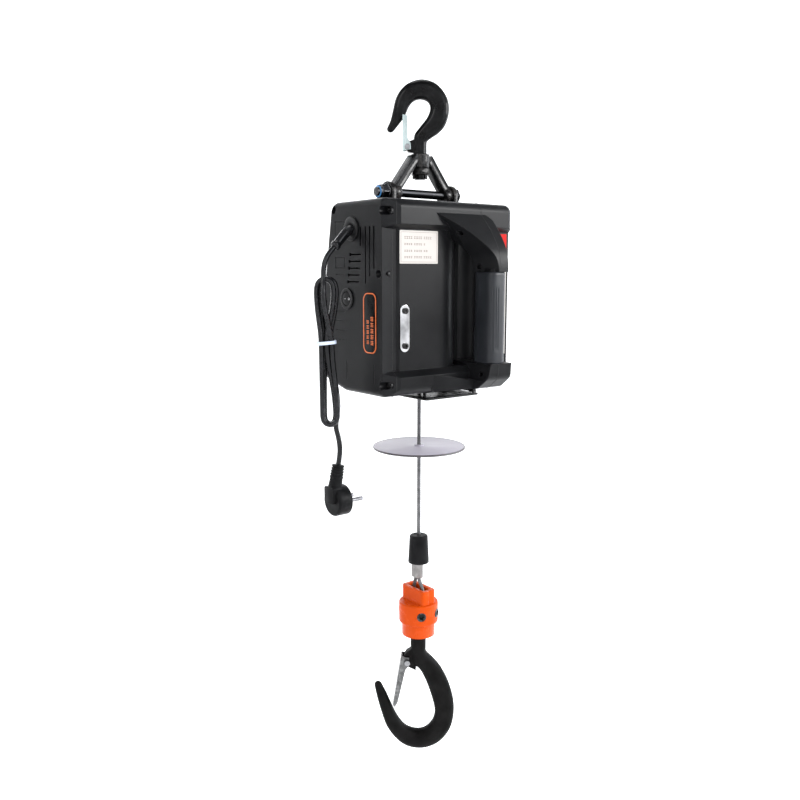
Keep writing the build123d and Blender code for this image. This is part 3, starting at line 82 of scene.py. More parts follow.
camera_data = bpy.data.cameras.new("camera")
camera_data.lens = LENS_MM
camera_data.sensor_width = SENSOR_MM
camera = bpy.data.objects.new("camera", camera_data)
camera.location = CAMERA_AT
camera.rotation_euler = CAMERA_TURN
scene.collection.objects.link(camera)
scene.camera = camera
scene.view_settings.view_transform = "Standard"


def soft_box(name, place, aim, size, power, tint=(1, 1, 1)):
    """Rectangular lamp aimed at a point; size is in metres and power in watts."""
    data = bpy.data.lights.new(name, "AREA")
    data.shape = "RECTANGLE"
    data.size, data.size_y = size
    data.energy = power
    data.color = tint
    lamp = bpy.data.objects.new(name, data)
    lamp.location = place
    lamp.rotation_euler = (Vector(aim) - Vector(place)).to_track_quat("-Z", "Y").to_euler()
    scene.collection.objects.link(lamp)


MIDDLE = (0, 0, -0.4)
COOL = (0.9, 0.94, 1)
soft_box("key", (1.27, -1.55, 0.3), (0, 0, -0.2), (0.7, 0.7), 34)
soft_box("left_rim", (-1.5, -0.4, 0.8), MIDDLE, (0.3, 0.9), 7)
soft_box("front_fill", (0.35, -1.9, 0.35), MIDDLE, (0.5, 1.5), 9, COOL)
soft_box("right_strip", (1.5, -0.5, -0.1), MIDDLE, (0.3, 1.4), 13, COOL)
soft_box("top", (0.1, 0.2, 1.5), MIDDLE, (0.8, 0.8), 13)
soft_box("back", (0.4, 1.7, 0.2), MIDDLE, (1.0, 1.0), 10)

world = bpy.data.worlds.new("studio")
scene.world = world
world.use_nodes = True
sky = world.node_tree.nodes["Background"]
sky.inputs["Color"].default_value = (0.93, 0.95, 1, 1)
sky.inputs["Strength"].default_value = 0.4

# The floor in metres: its height, its radius, and the shares of the radius that are flat and curved.
FLOOR_Z = -1.35
FLOOR_R = 9.0
FLAT_SHARE, CURVED_SHARE, WALL_SHARE = 0.6, 0.4, 0.9
CURVE_STEPS = 10


def floor_sheet():
    """Round pale floor that curves up into a wall all round, far outside the object."""
    mesh = bpy.data.meshes.new("floor")
    bm = bmesh.new()
    profile = [(0.0, 0.0), (FLOOR_R * FLAT_SHARE, 0.0)]
    for step in range(1, CURVE_STEPS + 1):
        turn = pi / 2 * step / CURVE_STEPS
        reach = FLOOR_R * (FLAT_SHARE + CURVED_SHARE * sin(turn))
        profile.append((reach, FLOOR_R * CURVED_SHARE * (1 - cos(turn))))
    profile.append((FLOOR_R, FLOOR_R * WALL_SHARE))
    verts = [bm.verts.new((r, 0, FLOOR_Z + z)) for r, z in profile]
    edges = [bm.edges.new(pair) for pair in zip(verts, verts[1:])]
    bmesh.ops.spin(bm, geom=verts + edges, cent=(0, 0, 0), axis=(0, 0, 1), angle=2 * pi, steps=48)
    bmesh.ops.remove_doubles(bm, verts=bm.verts, dist=1e-5)
    bmesh.ops.recalc_face_normals(bm, faces=bm.faces)
    for face in bm.faces:
        face.smooth = True
    bm.to_mesh(mesh)
    bm.free()
    floor = bpy.data.objects.new("floor", mesh)
    scene.collection.objects.link(floor)
    return floor


floor = floor_sheet()


# ---------------------------------------------------------------- materials
COAT_ROUGHNESS = 0.12
GRAIN_DEPTH = 0.0003  # metres
ROUNDING_SAMPLES = 6


def surface(
    name,
    colour,
    rough,
    metal=0.0,
    mottle=0.12,
    mottle_scale=60.0,
    grain=0.0,
    grain_scale=900.0,
    rough_spread=0.08,
    wear=None,
    specular=0.5,
    coat=0.0,
    stretch=(1, 1, 1),
    rounding=0.0,
    glow=0.0,
):
    """Finish with slow colour drift, patchy gloss, fine grain as bump and worn edges. On the chrome strip
    the drift is strong enough to be painted reflection.

    rounding softens the shading of sharp edges by that many millimetres, and glow adds light.
    """
    material = bpy.data.materials.new(name)
    material.use_nodes = True
    tree = material.node_tree
    shader = tree.nodes["Principled BSDF"]
    shader.inputs["Metallic"].default_value = metal
    shader.inputs["Specular IOR Level"].default_value = specular
    shader.inputs["Coat Weight"].default_value = coat
    shader.inputs["Coat Roughness"].default_value = COAT_ROUGHNESS
    link = tree.links.new

    place = tree.nodes.new("ShaderNodeTexCoord")
    mapping = tree.nodes.new("ShaderNodeMapping")
    mapping.inputs["Scale"].default_value = stretch
    link(place.outputs["Object"], mapping.inputs["Vector"])

    def noise(scale, detail):
        node = tree.nodes.new("ShaderNodeTexNoise")
        node.inputs["Scale"].default_value = scale
        node.inputs["Detail"].default_value = detail
        link(mapping.outputs["Vector"], node.inputs["Vector"])
        return node

    def ramp(source, low, high, start=0.3, end=0.7):
        node = tree.nodes.new("ShaderNodeMapRange")
        node.inputs["From Min"].default_value = start
        node.inputs["From Max"].default_value = end
        node.inputs["To Min"].default_value = low
        node.inputs["To Max"].default_value = high
        link(source, node.inputs["Value"])
        return node.outputs["Result"]

    def blend_colours(factor, first, second):
        node = tree.nodes.new("ShaderNodeMix")
        node.data_type = "RGBA"
        link(factor, node.inputs["Factor"])
        for socket, value in (("A", first), ("B", second)):
            target = next(i for i in node.inputs if i.name == socket and i.type == "RGBA")
            if isinstance(value, bpy.types.NodeSocket):
                link(value, target)
            else:
                target.default_value = (*value, 1)
        return next(o for o in node.outputs if o.type == "RGBA")

    slow = noise(mottle_scale, 4)
    fine = noise(grain_scale, 2)
    darker = [c * (1 - mottle) for c in colour]
    lighter = [min(1, c * (1 + mottle) + 0.004) for c in colour]
    base = blend_colours(ramp(slow.outputs["Fac"], 0, 1), darker, lighter)
    if wear:
        pointed = tree.nodes.new("ShaderNodeNewGeometry")
        scuff = noise(mottle_scale * 3, 5)
        edge = ramp(pointed.outputs["Pointiness"], 0, 1, 0.53, 0.62)
        patch = ramp(scuff.outputs["Fac"], 0, 1, 0.45, 0.62)
        both = tree.nodes.new("ShaderNodeMath")
        both.operation = "MULTIPLY"
        link(edge, both.inputs[0])
        link(patch, both.inputs[1])
        base = blend_colours(both.outputs["Value"], base, wear)
    link(base, shader.inputs["Base Color"])
    gloss = ramp(slow.outputs["Fac"], rough - rough_spread, rough + rough_spread)
    link(gloss, shader.inputs["Roughness"])
    if glow:
        link(base, shader.inputs["Emission Color"])
        shader.inputs["Emission Strength"].default_value = glow
    if rounding:
        rounded = tree.nodes.new("ShaderNodeBevel")
        rounded.samples = ROUNDING_SAMPLES
        rounded.inputs["Radius"].default_value = rounding * MM
        link(rounded.outputs["Normal"], shader.inputs["Normal"])
    if grain:
        bump = tree.nodes.new("ShaderNodeBump")
        bump.inputs["Strength"].default_value = grain
        bump.inputs["Distance"].default_value = GRAIN_DEPTH
        link(fine.outputs["Fac"], bump.inputs["Height"])
        if rounding:
            link(rounded.outputs["Normal"], bump.inputs["Normal"])
        link(bump.outputs["Normal"], shader.inputs["Normal"])
    return material


PALE = surface(
    "pale_floor", (0.88, 0.885, 0.89), 0.9, mottle=0.01, mottle_scale=2, specular=0.1, glow=0.72
)
floor.data.materials.append(PALE)

FINISH = {
    "hook_enamel": surface(
        "hook_enamel",
        (0.002, 0.002, 0.0022),
        0.16,
        mottle=0.3,
        grain=0.3,
        grain_scale=130,
        specular=0.09,
        coat=0.01,
        wear=(0.03, 0.028, 0.027),
    ),
    "frame_enamel": surface(
        "frame_enamel",
        (0.003, 0.003, 0.0033),
        0.2,
        mottle=0.3,
        grain=0.5,
        grain_scale=220,
        specular=0.2,
        coat=0.03,
        wear=(0.09, 0.08, 0.075),
    ),
    "latch_zinc": surface(
        "latch_zinc",
        (0.36, 0.42, 0.42),
        0.25,
        1,
        mottle=0.3,
        mottle_scale=120,
        grain=0.2,
        grain_scale=500,
        stretch=(1, 1, 0.15),
    ),
    "pin_steel": surface("pin_steel", (0.24, 0.24, 0.25), 0.3, 1, grain=0.15, wear=(0.6, 0.6, 0.6)),
    "bolt_steel": surface(
        "bolt_steel",
        (0.06, 0.06, 0.063),
        0.2,
        1,
        mottle=0.3,
        grain=0.2,
        grain_scale=700,
        stretch=(0.2, 1, 1),
    ),
    "casing_black": surface(
        "casing_black",
        (0.0036, 0.0037, 0.0043),
        0.33,
        mottle=0.12,
        mottle_scale=14,
        grain=0.1,
        grain_scale=1500,
        rough_spread=0.03,
        specular=0.1,
        rounding=0.9,
    ),
    "grip_rubber": surface(
        "grip_rubber",
        (0.012, 0.0132, 0.016),
        0.38,
        mottle_scale=20,
        grain=0.2,
        grain_scale=1100,
        specular=0.25,
    ),
    "screw_black": surface(
        "screw_black", (0.003, 0.003, 0.0033), 0.25, grain=0.2, specular=0.2, wear=(0.1, 0.1, 0.1)
    ),
    "gear_steel": surface("gear_steel", (0.42, 0.43, 0.45), 0.35, 1, grain=0.2, wear=(0.7, 0.7, 0.7)),
    "drum_iron": surface("drum_iron", (0.2, 0.21, 0.22), 0.5, 0.8, grain=0.4, grain_scale=300),
    "motor_aluminium": surface("motor_aluminium", (0.6, 0.61, 0.63), 0.4, 1, grain=0.2, stretch=(0.2, 1, 1)),
    "inner_plastic": surface("inner_plastic", (0.05, 0.05, 0.055), 0.5, grain=0.15),
    "board_green": surface("board_green", (0.02, 0.12, 0.05), 0.4, mottle=0.3, mottle_scale=250, grain=0.2),
    "plate_enamel": surface(
        "plate_enamel", (0.003, 0.003, 0.0035), 0.3, grain=0.25, specular=0.15, wear=(0.1, 0.1, 0.1)
    ),
    "disc_coat": surface(
        "disc_coat",
        (0.33, 0.31, 0.36),
        0.42,
        mottle=0.05,
        mottle_scale=25,
        grain=0.12,
        wear=(0.12, 0.11, 0.12),
    ),
    "rope_wire": surface(
        "rope_wire",
        (0.13, 0.13, 0.133),
        0.38,
        0.85,
        mottle=0.35,
        mottle_scale=220,
        grain=0.5,
        grain_scale=1600,
    ),
    "stop_rubber": surface(
        "stop_rubber", (0.004, 0.004, 0.0045), 0.45, grain=0.25, grain_scale=500, specular=0.06, rounding=0.5
    ),
    "ferrule_metal": surface(
        "ferrule_metal",
        (0.22, 0.21, 0.205),
        0.36,
        0.95,
        mottle=0.25,
        mottle_scale=150,
        grain=0.3,
        grain_scale=450,
    ),
    "block_orange": surface(
        "block_orange",
        (0.48, 0.05, 0.0005),
        0.25,
        mottle=0.06,
        grain=0.12,
        specular=0.08,
        coat=0.01,
        wear=(0.6, 0.08, 0.004),
    ),
    "hook_coat": surface(
        "hook_coat",
        (0.0025, 0.0023, 0.0022),
        0.45,
        mottle=0.3,
        grain=0.45,
        grain_scale=420,
        specular=0.05,
        wear=(0.02, 0.019, 0.018),
    ),
    "switch_plastic": surface(
        "switch_plastic", (0.002, 0.002, 0.0023), 0.22, grain=0.08, specular=0.14, rounding=0.4
    ),
    "gland_plastic": surface(
        "gland_plastic", (0.003, 0.003, 0.0033), 0.35, grain=0.15, specular=0.15, rounding=0.5
    ),
    "cord_rubber": surface(
        "cord_rubber", (0.004, 0.0042, 0.0052), 0.22, mottle=0.2, grain=0.1, grain_scale=700, specular=0.26
    ),
    "tie_white": surface("tie_white", (0.55, 0.63, 0.78), 0.4, mottle=0.04, grain=0.1),
    "plug_black": surface(
        "plug_black",
        (0.003, 0.0031, 0.0035),
        0.4,
        grain=0.25,
        specular=0.06,
        wear=(0.012, 0.012, 0.013),
    ),
    "label_white": surface("label_white", (0.4, 0.375, 0.35), 0.5, mottle=0.03, grain=0.05),
    "label_red": surface("label_red", (0.42, 0.008, 0.006), 0.4, mottle=0.05, grain=0.05, specular=0.05),
    "badge_trim": surface("badge_trim", (0.62, 0.13, 0.03), 0.35, mottle=0.06, grain=0.1),
    # The chrome strip's strong colour drift is painted reflection: its light and dark patches stand in for
    # mirrored surroundings.
    "strip_chrome": surface(
        "strip_chrome", (0.42, 0.42, 0.43), 0.1, 1, mottle=0.85, mottle_scale=38, rough_spread=0.03
    ),
}

for subpart in frame["record"]["subparts"]:
    shown = nodes[subpart["node"]].data
    shown.materials.clear()
    shown.materials.append(FINISH[subpart["material_slot"]])

# The lower latch is darker and more worn than the upper one.
DULL_STEEL = surface(
    "dull_steel", (0.1, 0.1, 0.1), 0.32, 0.9, mottle=0.3, grain=0.3, grain_scale=600, wear=(0.4, 0.4, 0.4)
)
nodes["load_latch"].data.materials[0] = DULL_STEEL

# The contact pins of the plug are bare metal, from this x in metres onwards.
PLUG_PINS_X = -0.1146
plug_mesh = nodes["plug"].data
plug_mesh.materials.append(FINISH["pin_steel"])
for face in plug_mesh.polygons:
    if face.center.x > PLUG_PINS_X:
        face.material_index = 1


def soften(piece, width, limit=35, segments=2):
    """Joins the faces of a sharp-edged mesh and rounds its edges by width millimetres."""
    weld = piece.modifiers.new("weld", "WELD")
    weld.merge_threshold = 1e-5
    bevel = piece.modifiers.new("round_edges", "BEVEL")
    bevel.width = width * MM
    bevel.segments = segments
    bevel.limit_method = "ANGLE"
    bevel.angle_limit = radians(limit)
    bevel.harden_normals = True
    for face in piece.data.polygons:
        face.use_smooth = True
    return piece


# Widths of the rounded edges in millimetres.
EDGE_WIDTHS = {
    "yoke": 1.2,
    "left_frame_plate": 0.8,
    "right_frame_plate": 0.8,
    "axle_nut": 0.5,
    "hanger_axle": 0.4,
    "top_hook_nut": 0.5,
    "top_latch": 0.3,
    "load_latch": 0.3,
    "top_latch_pin": 0.5,
    "load_latch_pin": 0.6,
    "block_left_half": 0.7,
    "block_right_half": 0.7,
    "rope_ferrule": 0.5,
    "rubber_stop": 0.8,
    "limit_disc": 0.3,
    "bottom_plate": 0.4,
    "limit_lever": 0.4,
    "rope_guide": 0.4,
    "plug": 0.7,
    "cable_gland": 0.6,
    "switch_bezel": 0.5,
    "rocker_button": 0.8,
    "casing_screws": 0.2,
    "chrome_strip": 0.2,
}
for name, width in EDGE_WIDTHS.items():
    soften(nodes[name], width)


def finish_piece(piece, slot, body, replaced=(), smooth=True):
    """Links a new piece, gives it its slot's finish and lets it ride."""
    if piece.name not in scene.collection.objects:
        scene.collection.objects.link(piece)
    piece.data.materials.clear()
    piece.data.materials.append(FINISH[slot])
    if smooth and piece.type == "MESH":
        piece.data.shade_smooth()
    if replaced:
        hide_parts(*replaced)
    if body:
        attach(piece, body)
    return piece


# ---------------------------------------------------------------- power cord
CORD_D = 0.006  # metres; the points and heights of the cord are in millimetres
LEAD_POINTS = [
    (-125.0, 0.0, -175.0),
    (-131.8, 0.2, -180.9),
    (-137.2, 0.6, -189.3),
    (-139.6, 0.8, -199.0),
    (-140.0, 0.8, -209.0),
]
TAIL_POINTS = [
    (-128.0, -2.0, -381.0),
    (-124.6, -3.0, -393.0),
    (-122.6, -3.2, -405.0),
    (-122.4, -2.6, -416.5),
    (-124.0, -1.4, -427.5),
]
HANK_AT = mm(-137, 0, 0)
TIE_Z = -283.0
FOLD_HIGH, FOLD_LOW = -214.0, -376.0
SWING_HIGH, SWING_LOW = FOLD_HIGH - 18, FOLD_LOW + 14  # where the runs start and stop to swing
FOLD_RISE = 6  # how far inside a fold its runs end
BULGE_HIGH, BULGE_LOW = 10.0, 8.5
RUN_HEIGHTS = [-232, -250, -268, TIE_Z, -300, -320, -340, -360]
FIRST_HEIGHT = -222
# Each run of the hank: across and out at the top fold, in the tie and at the bottom fold.
RUNS = [
    ((-2.4, 7.4), (6.0, 2.9), (11.6, 3.2)),
    ((-11.0, 1.0), (-6.0, 2.9), (-5.6, 2.9)),
    ((8.6, 0.4), (0.0, 3.2), (9.0, -3.2)),
    ((-7.6, -5.8), (-3.0, -2.9), (-3.8, -3.6)),
    ((11.2, -5.6), (3.0, -2.9), (12.0, -9.2)),
]


def hank_point(across, out, z):
    """A point near the hank: across and out from its middle, at height z."""
    return HANK_AT + (RIGHT * across + FRONT * out + UP * z) * MM


def eased(share):
    """A share from 0 to 1 that starts and ends gently."""
    return share * share * (3 - 2 * share)


def run_point(run, z):
    """Where a run passes height z: it swings from its fold to its place in the tie and on."""
    high, tied, low = RUNS[run]
    if z > TIE_Z:
        share = eased((SWING_HIGH - z) / (SWING_HIGH - TIE_Z)) if z < SWING_HIGH else 0
        first, second = high, tied
    else:
        share = eased((TIE_Z - z) / (TIE_Z - SWING_LOW)) if z > SWING_LOW else 1
        first, second = tied, low
    across, out = (a + (b - a) * share for a, b in zip(first, second))
    return hank_point(across, out, z)


def fold_points(start, end, height, sense):
    """Half a turn between the ends of two runs, bulging up or down."""
    middle = (start + end) / 2
    half = (end - start) / 2
    rise = UP * height * MM * sense
    return [middle - half * cos(pi * step / 4) + rise * sin(pi * step / 4) for step in range(1, 4)]


def hank_points():
    """The runs down and up through the tie with a fold between each two."""
    points = []
    for run in range(len(RUNS)):
        goes_down = run % 2 == 0
        levels = RUN_HEIGHTS if goes_down else list(reversed(RUN_HEIGHTS))
        if run == 0:
            levels = [FIRST_HEIGHT] + levels
        points += [run_point(run, z) for z in levels]
        if run + 1 == len(RUNS):
            break
        end_z = FOLD_LOW + FOLD_RISE if goes_down else FOLD_HIGH - FOLD_RISE
        start, end = run_point(run, end_z), run_point(run + 1, end_z)
        bulge = BULGE_LOW if goes_down else BULGE_HIGH
        points += [start] + fold_points(start, end, bulge, -1 if goes_down else 1) + [end]
    return points


def nurbs_curve(name, points, resolution):
    """Curve data with one smooth spline that starts and ends at the outer points."""
    data = bpy.data.curves.new(name, "CURVE")
    data.dimensions = "3D"
    spline = data.splines.new("NURBS")
    spline.points.add(len(points) - 1)
    for target, point in zip(spline.points, points):
        target.co = (*point, 1)
    spline.order_u = 3
    spline.use_endpoint_u = True
    spline.resolution_u = resolution
    return data


def cord_curve():
    """The whole cord from the strain relief to the plug."""
    points = [mm(*p) for p in LEAD_POINTS] + hank_points() + [mm(*p) for p in TAIL_POINTS]
    data = nurbs_curve("power_cord", points, 6)
    data.bevel_depth = CORD_D / 2
    data.bevel_resolution = 5
    data.use_fill_caps = True
    return bpy.data.objects.new("power_cord", data)


power_cord = finish_piece(
    cord_curve(), "cord_rubber", "casing", ("power_cord_lead", "cord_hank", "power_cord_tail")
)


# ---------------------------------------------------------------- mesh helpers
def skin(bm, rings, caps=True):
    """Faces between rings that have the same number of points."""
    rows = [[bm.verts.new(point) for point in ring] for ring in rings]
    for row, following in zip(rows, rows[1:]):
        for i in range(len(row)):
            j = (i + 1) % len(row)
            bm.faces.new((row[i], row[j], following[j], following[i]))
    if caps:
        bm.faces.new(list(reversed(rows[0])))
        bm.faces.new(rows[-1])


def piece_from(name, bm):
    """A new object from finished mesh data."""
    mesh = bpy.data.meshes.new(name)
    bmesh.ops.recalc_face_normals(bm, faces=bm.faces)
    bm.to_mesh(mesh)
    bm.free()
    piece = bpy.data.objects.new(name, mesh)
    scene.collection.objects.link(piece)
    return piece


def rounded_rect(width, height, radius, steps=6):
    """Points of a rectangle with round corners about its centre."""
    points = []
    for quarter, (sx, sy) in enumerate(((1, 1), (-1, 1), (-1, -1), (1, -1))):
        for step in range(steps + 1):
            turn = pi / 2 * (quarter + step / steps)
            points.append(
                (
                    sx * (width / 2 - radius) + radius * cos(turn),
                    sy * (height / 2 - radius) + radius * sin(turn),
                )
            )
    return points


def plate(bm, outline, origin, across, up, out, low, high):
    """Flat plate: the outline in millimetres on a plane, from low to high along out."""
    rings = []
    for level in (low, high):
        rings.append([origin + (across * a + up * b + out * level) * MM for a, b in outline])
    skin(bm, rings)


def border(bm, outer, inner, origin, across, up, out, low, high):
    """Frame between two outlines that have the same number of points."""
    rings = []
    for loop, level in ((outer, low), (outer, high), (inner, high), (inner, low), (outer, low)):
        rings.append([origin + (across * a + up * b + out * level) * MM for a, b in loop])
    skin(bm, rings, caps=False)
    bmesh.ops.remove_doubles(bm, verts=bm.verts, dist=1e-7)


def squared_reach(turn, power):
    """Reach at an angle of a round that is drawn towards a square: the more power, the squarer."""
    return (abs(cos(turn)) ** power + abs(sin(turn)) ** power) ** (-1 / power)


def cross_axes(centres, i, side):
    """Two directions square to the line of points at point i, the first nearest to side."""
    along = (centres[min(i + 1, len(centres) - 1)] - centres[max(i - 1, 0)]).normalized()
    first = (side - along * side.dot(along)).normalized()
    return first, along.cross(first)


def sweep_rings(centres, radii, side, count):
    """Round rings square to a line of points."""
    rings = []
    for i, (centre, radius) in enumerate(zip(centres, radii)):
        first, second = cross_axes(centres, i, side)
        rings.append(
            [
                centre + (first * cos(2 * pi * k / count) + second * sin(2 * pi * k / count)) * radius
                for k in range(count)
            ]
        )
    return rings


def smooth_line(points, resolution):
    """Points read from a smooth spline that follows the given route."""
    holder = bpy.data.objects.new("route", nurbs_curve("route", points, resolution))
    mesh = bpy.data.meshes.new_from_object(holder)
    line = [vert.co.copy() for vert in mesh.vertices]
    bpy.data.objects.remove(holder)
    bpy.data.meshes.remove(mesh)
    return line


# ---------------------------------------------------------------- cable tie and strain relief
X_AXIS, Y_AXIS = Vector((1, 0, 0)), Vector((0, 1, 0))
# Section of the band in millimetres: how far it stands out of the hank, and up or down.
BAND_SECTION = ((0, -1.7), (0.9, -2.0), (1.1, 0), (0.9, 2.0), (0, 1.7), (-0.1, 0))
BAND_STEPS = 48


def tie_band():
    """Flat band round the hank, slightly askew, with its head and cut tail."""
    bm = bmesh.new()
    half_width, half_depth, slope = 9.6, 6.5, 0.1
    rings = []
    for step in range(BAND_STEPS + 1):
        turn = 2 * pi * step / BAND_STEPS
        reach = squared_reach(turn, 2.6)
        across, out = half_width * reach * cos(turn), half_depth * reach * sin(turn)
        z = TIE_Z + slope * across
        section = []
        for grow, rise in BAND_SECTION:
            scale = 1 + grow / half_depth
            section.append(hank_point(across * scale, out * scale, z + rise))
        rings.append(section)
    skin(bm, rings[:-1] + [rings[0]], caps=False)
    bmesh.ops.remove_doubles(bm, verts=bm.verts, dist=1e-6)
    head = rounded_rect(5.2, 5.4, 1.0)
    plate(bm, head, hank_point(-9.4, 3.0, TIE_Z - 1.2), FRONT, UP, RIGHT, -1.8, 1.0)
    tail = [(-4.6, -2.6), (-4.2, -4.2), (-0.5, -2.2), (-0.5, 1.0)]
    plate(bm, tail, hank_point(-9.8, 3.8, TIE_Z - 1.0), RIGHT, UP, FRONT, -0.6, 0.5)
    return piece_from("cord_tie_band", bm)


tie = finish_piece(soften(tie_band(), 0.25), "tie_white", "casing", ("cord_tie",), smooth=False)


SLEEVE_ROUTE = [(-88, 0, -154), (-98, 0, -154), (-105, 0, -155), (-114, 0, -163.5), (-125, 0, -175)]
SLEEVE_R, SLEEVE_TAPER = 6.1, 1.3
COLLAR_LENGTH, COLLAR_R = 4.2, 5.9
RIM_LENGTH, RIM_R = 0.6, 5.4


def strain_relief_sleeve():
    """Bent, tapered sleeve from the gland to the cord, ending in a collar."""
    line = smooth_line([mm(*p) for p in SLEEVE_ROUTE], 12)
    total = sum((b - a).length for a, b in zip(line, line[1:]))
    gone, radii = 0.0, []
    for i, point in enumerate(line):
        gone += (point - line[i - 1]).length if i else 0
        share = gone / total
        to_end = (total - gone) / MM
        radius = SLEEVE_R - SLEEVE_TAPER * share
        if to_end < COLLAR_LENGTH:
            radius = COLLAR_R if to_end > RIM_LENGTH else RIM_R
        radii.append(radius * MM)
    bm = bmesh.new()
    skin(bm, sweep_rings(line, radii, Y_AXIS, 28))
    return piece_from("strain_relief_sleeve", bm)


finish_piece(strain_relief_sleeve(), "cord_rubber", "casing", ("strain_relief",))


# ---------------------------------------------------------------- wire rope
STRANDS = 6
CORE_R, STRAND_R, LAY_R, LAY_LENGTH = 0.95, 0.86, 1.6, 17.0  # millimetres
STRAND_SIDES = 8


def rope_piece(name, centres):
    """Six strands laid round a core along a line of points."""
    bm = bmesh.new()
    gone = [0.0]
    for before, after in zip(centres, centres[1:]):
        gone.append(gone[-1] + (after - before).length)
    skin(bm, sweep_rings(centres, [CORE_R * MM] * len(centres), X_AXIS, STRAND_SIDES))
    for strand in range(STRANDS):
        line = []
        for i, (centre, distance) in enumerate(zip(centres, gone)):
            first, second = cross_axes(centres, i, X_AXIS)
            turn = 2 * pi * (strand / STRANDS + distance / (LAY_LENGTH * MM))
            line.append(centre + (first * cos(turn) + second * sin(turn)) * LAY_R * MM)
        skin(bm, sweep_rings(line, [STRAND_R * MM] * len(line), X_AXIS, STRAND_SIDES))
    return piece_from(name, bm)


DRUM_Z, STOP_TOP = -265.0, -538.0
FALL_STEPS = 200
fall_line = []
for step in range(FALL_STEPS + 1):
    fall_line.append(mm(0, 0, DRUM_Z + (STOP_TOP - DRUM_Z) * step / FALL_STEPS))
fall = finish_piece(rope_piece("rope_fall_strands", fall_line), "rope_wire", None, ("rope_fall",))
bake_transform(fall)

# Down from the stop sleeve, round the pin in the load block and up again into the ferrule.
EYE_ROUTE = [
    (0, 0, -538),
    (0, 0, -560),
    (0, 0, -584),
    (0, 0, -597),
    (0, -9.6, -611),
    (0, -10.6, -628),
    (0, -9.6, -642),
    (0, 0, -645.5),
    (0, 10, -642),
    (0, 11, -628),
    (0, 10, -611),
    (0, 5.4, -598),
    (0, 5.4, -586),
    (0, 5.4, -575.5),
]
eye_line = smooth_line([mm(*p) for p in EYE_ROUTE], 9)
finish_piece(rope_piece("rope_eye_strands", eye_line), "rope_wire", "load_block", ("rope_eye",))


# ---------------------------------------------------------------- forged hooks
SECTION_POINTS = 28
SECTION_POWER = 2.4
STATION_STEPS = 5
SKIN_VOXEL = 0.8  # millimetres


def between(first, second, third, fourth, share):
    """Catmull-Rom value between second and third."""
    a = second * 2
    b = third - first
    c = first * 2 - second * 5 + third * 4 - fourth
    d = second * 3 - first - third * 3 + fourth
    return (a + b * share + c * share * share + d * share ** 3) / 2


def forged_hook(name, stations, lug, lug_half, thread):
    """Hook body with its latch lug and shank end, all in millimetres on the plane of the hooks.

    stations are rows of outer point, inner point and half thickness, from tip to shank, lug is an
    outline and lug_half its half thickness, thread is the radius, top and bottom of the shank end.
    """
    rows = [Vector((*outer, *inner, half)) for outer, inner, half in stations]
    fine = []
    for i in range(len(rows) - 1):
        picks = [rows[max(0, i - 1)], rows[i], rows[i + 1], rows[min(len(rows) - 1, i + 2)]]
        fine += [between(*picks, step / STATION_STEPS) for step in range(STATION_STEPS)]
    fine.append(rows[-1])

    def ring(row, shrink=1.0, forward=0.0):
        outer, inner, half = Vector(row[0:2]), Vector(row[2:4]), row[4]
        middle = (outer + inner) / 2 + forward_dir * forward
        reach = (outer - inner) / 2 * shrink
        points = []
        for k in range(SECTION_POINTS):
            turn = 2 * pi * k / SECTION_POINTS
            flat = squared_reach(turn, SECTION_POWER)
            spot = middle + reach * cos(turn) * flat
            points.append(hook_point(spot.x, spot.y, half * shrink * sin(turn) * flat))
        return points

    first, second = fine[0], fine[2]
    tip_middle = Vector(first[0:2]) + Vector(first[2:4])
    forward_dir = (tip_middle - Vector(second[0:2]) - Vector(second[2:4])).normalized()
    tip_r = (Vector(first[0:2]) - Vector(first[2:4])).length / 2
    cap = [ring(first, cos(radians(a)), tip_r * sin(radians(a))) for a in (84, 66, 44, 22)]
    bm = bmesh.new()
    skin(bm, cap + [ring(row) for row in fine])
    plate(bm, lug, Vector((0, 0, 0)), RIGHT, UP, FRONT, -lug_half, lug_half)
    radius, high, low = thread
    shank_end = []
    for z in (high, low):
        turns = [pi * k / 12 for k in range(24)]
        shank_end.append([hook_point(radius * cos(turn), z, radius * sin(turn)) for turn in turns])
    skin(bm, shank_end)
    body = piece_from(name, bm)
    remesh = body.modifiers.new("one_skin", "REMESH")
    remesh.mode = "VOXEL"
    remesh.voxel_size = SKIN_VOXEL * MM
    remesh.use_smooth_shade = True
    relax = body.modifiers.new("forge_softness", "SMOOTH")
    relax.factor = 0.5
    relax.iterations = 6
    return body


TOP_STATIONS = [
    ((-39.2, -31.5), (-31.6, -36.0), 4.6),
    ((-35.6, -23.5), (-25.4, -28.6), 6.0),
    ((-32.6, -11), (-18.2, -19), 8.0),
    ((-29.5, 1), (-13.8, -9), 8.4),
    ((-23.2, 11.5), (-9.6, -3.6), 8.5),
    ((-13.5, 19.3), (-4.8, -0.6), 8.5),
    ((1.1, 23.3), (1.5, 0.0), 8.5),
    ((15.7, 20), (7.2, -1.7), 8.5),
    ((25.8, 12), (10.4, -5), 8.5),
    ((33, 0), (11.6, -9.4), 8.5),
    ((34.6, -14), (10.6, -15), 8.5),
    ((30.6, -28.6), (7.6, -21.4), 8.5),
    ((23, -38), (3.2, -27), 8.5),
    ((13.6, -44.4), (-2.6, -34), 8.4),
    ((8.6, -48.4), (-7.2, -41), 8.2),
    ((8, -53), (-8, -53), 8.0),
    ((8, -64), (-8, -64), 8.0),
]
TOP_LUG = [(-4, -45), (-14, -48.4), (-18.6, -52.4), (-18.6, -57), (-14, -61), (-4, -62)]
top_forging = forged_hook("top_hook_forged", TOP_STATIONS, TOP_LUG, 5.4, (6.5, -60, -93))
finish_piece(top_forging, "hook_enamel", "top_hook", ("top_hook",))

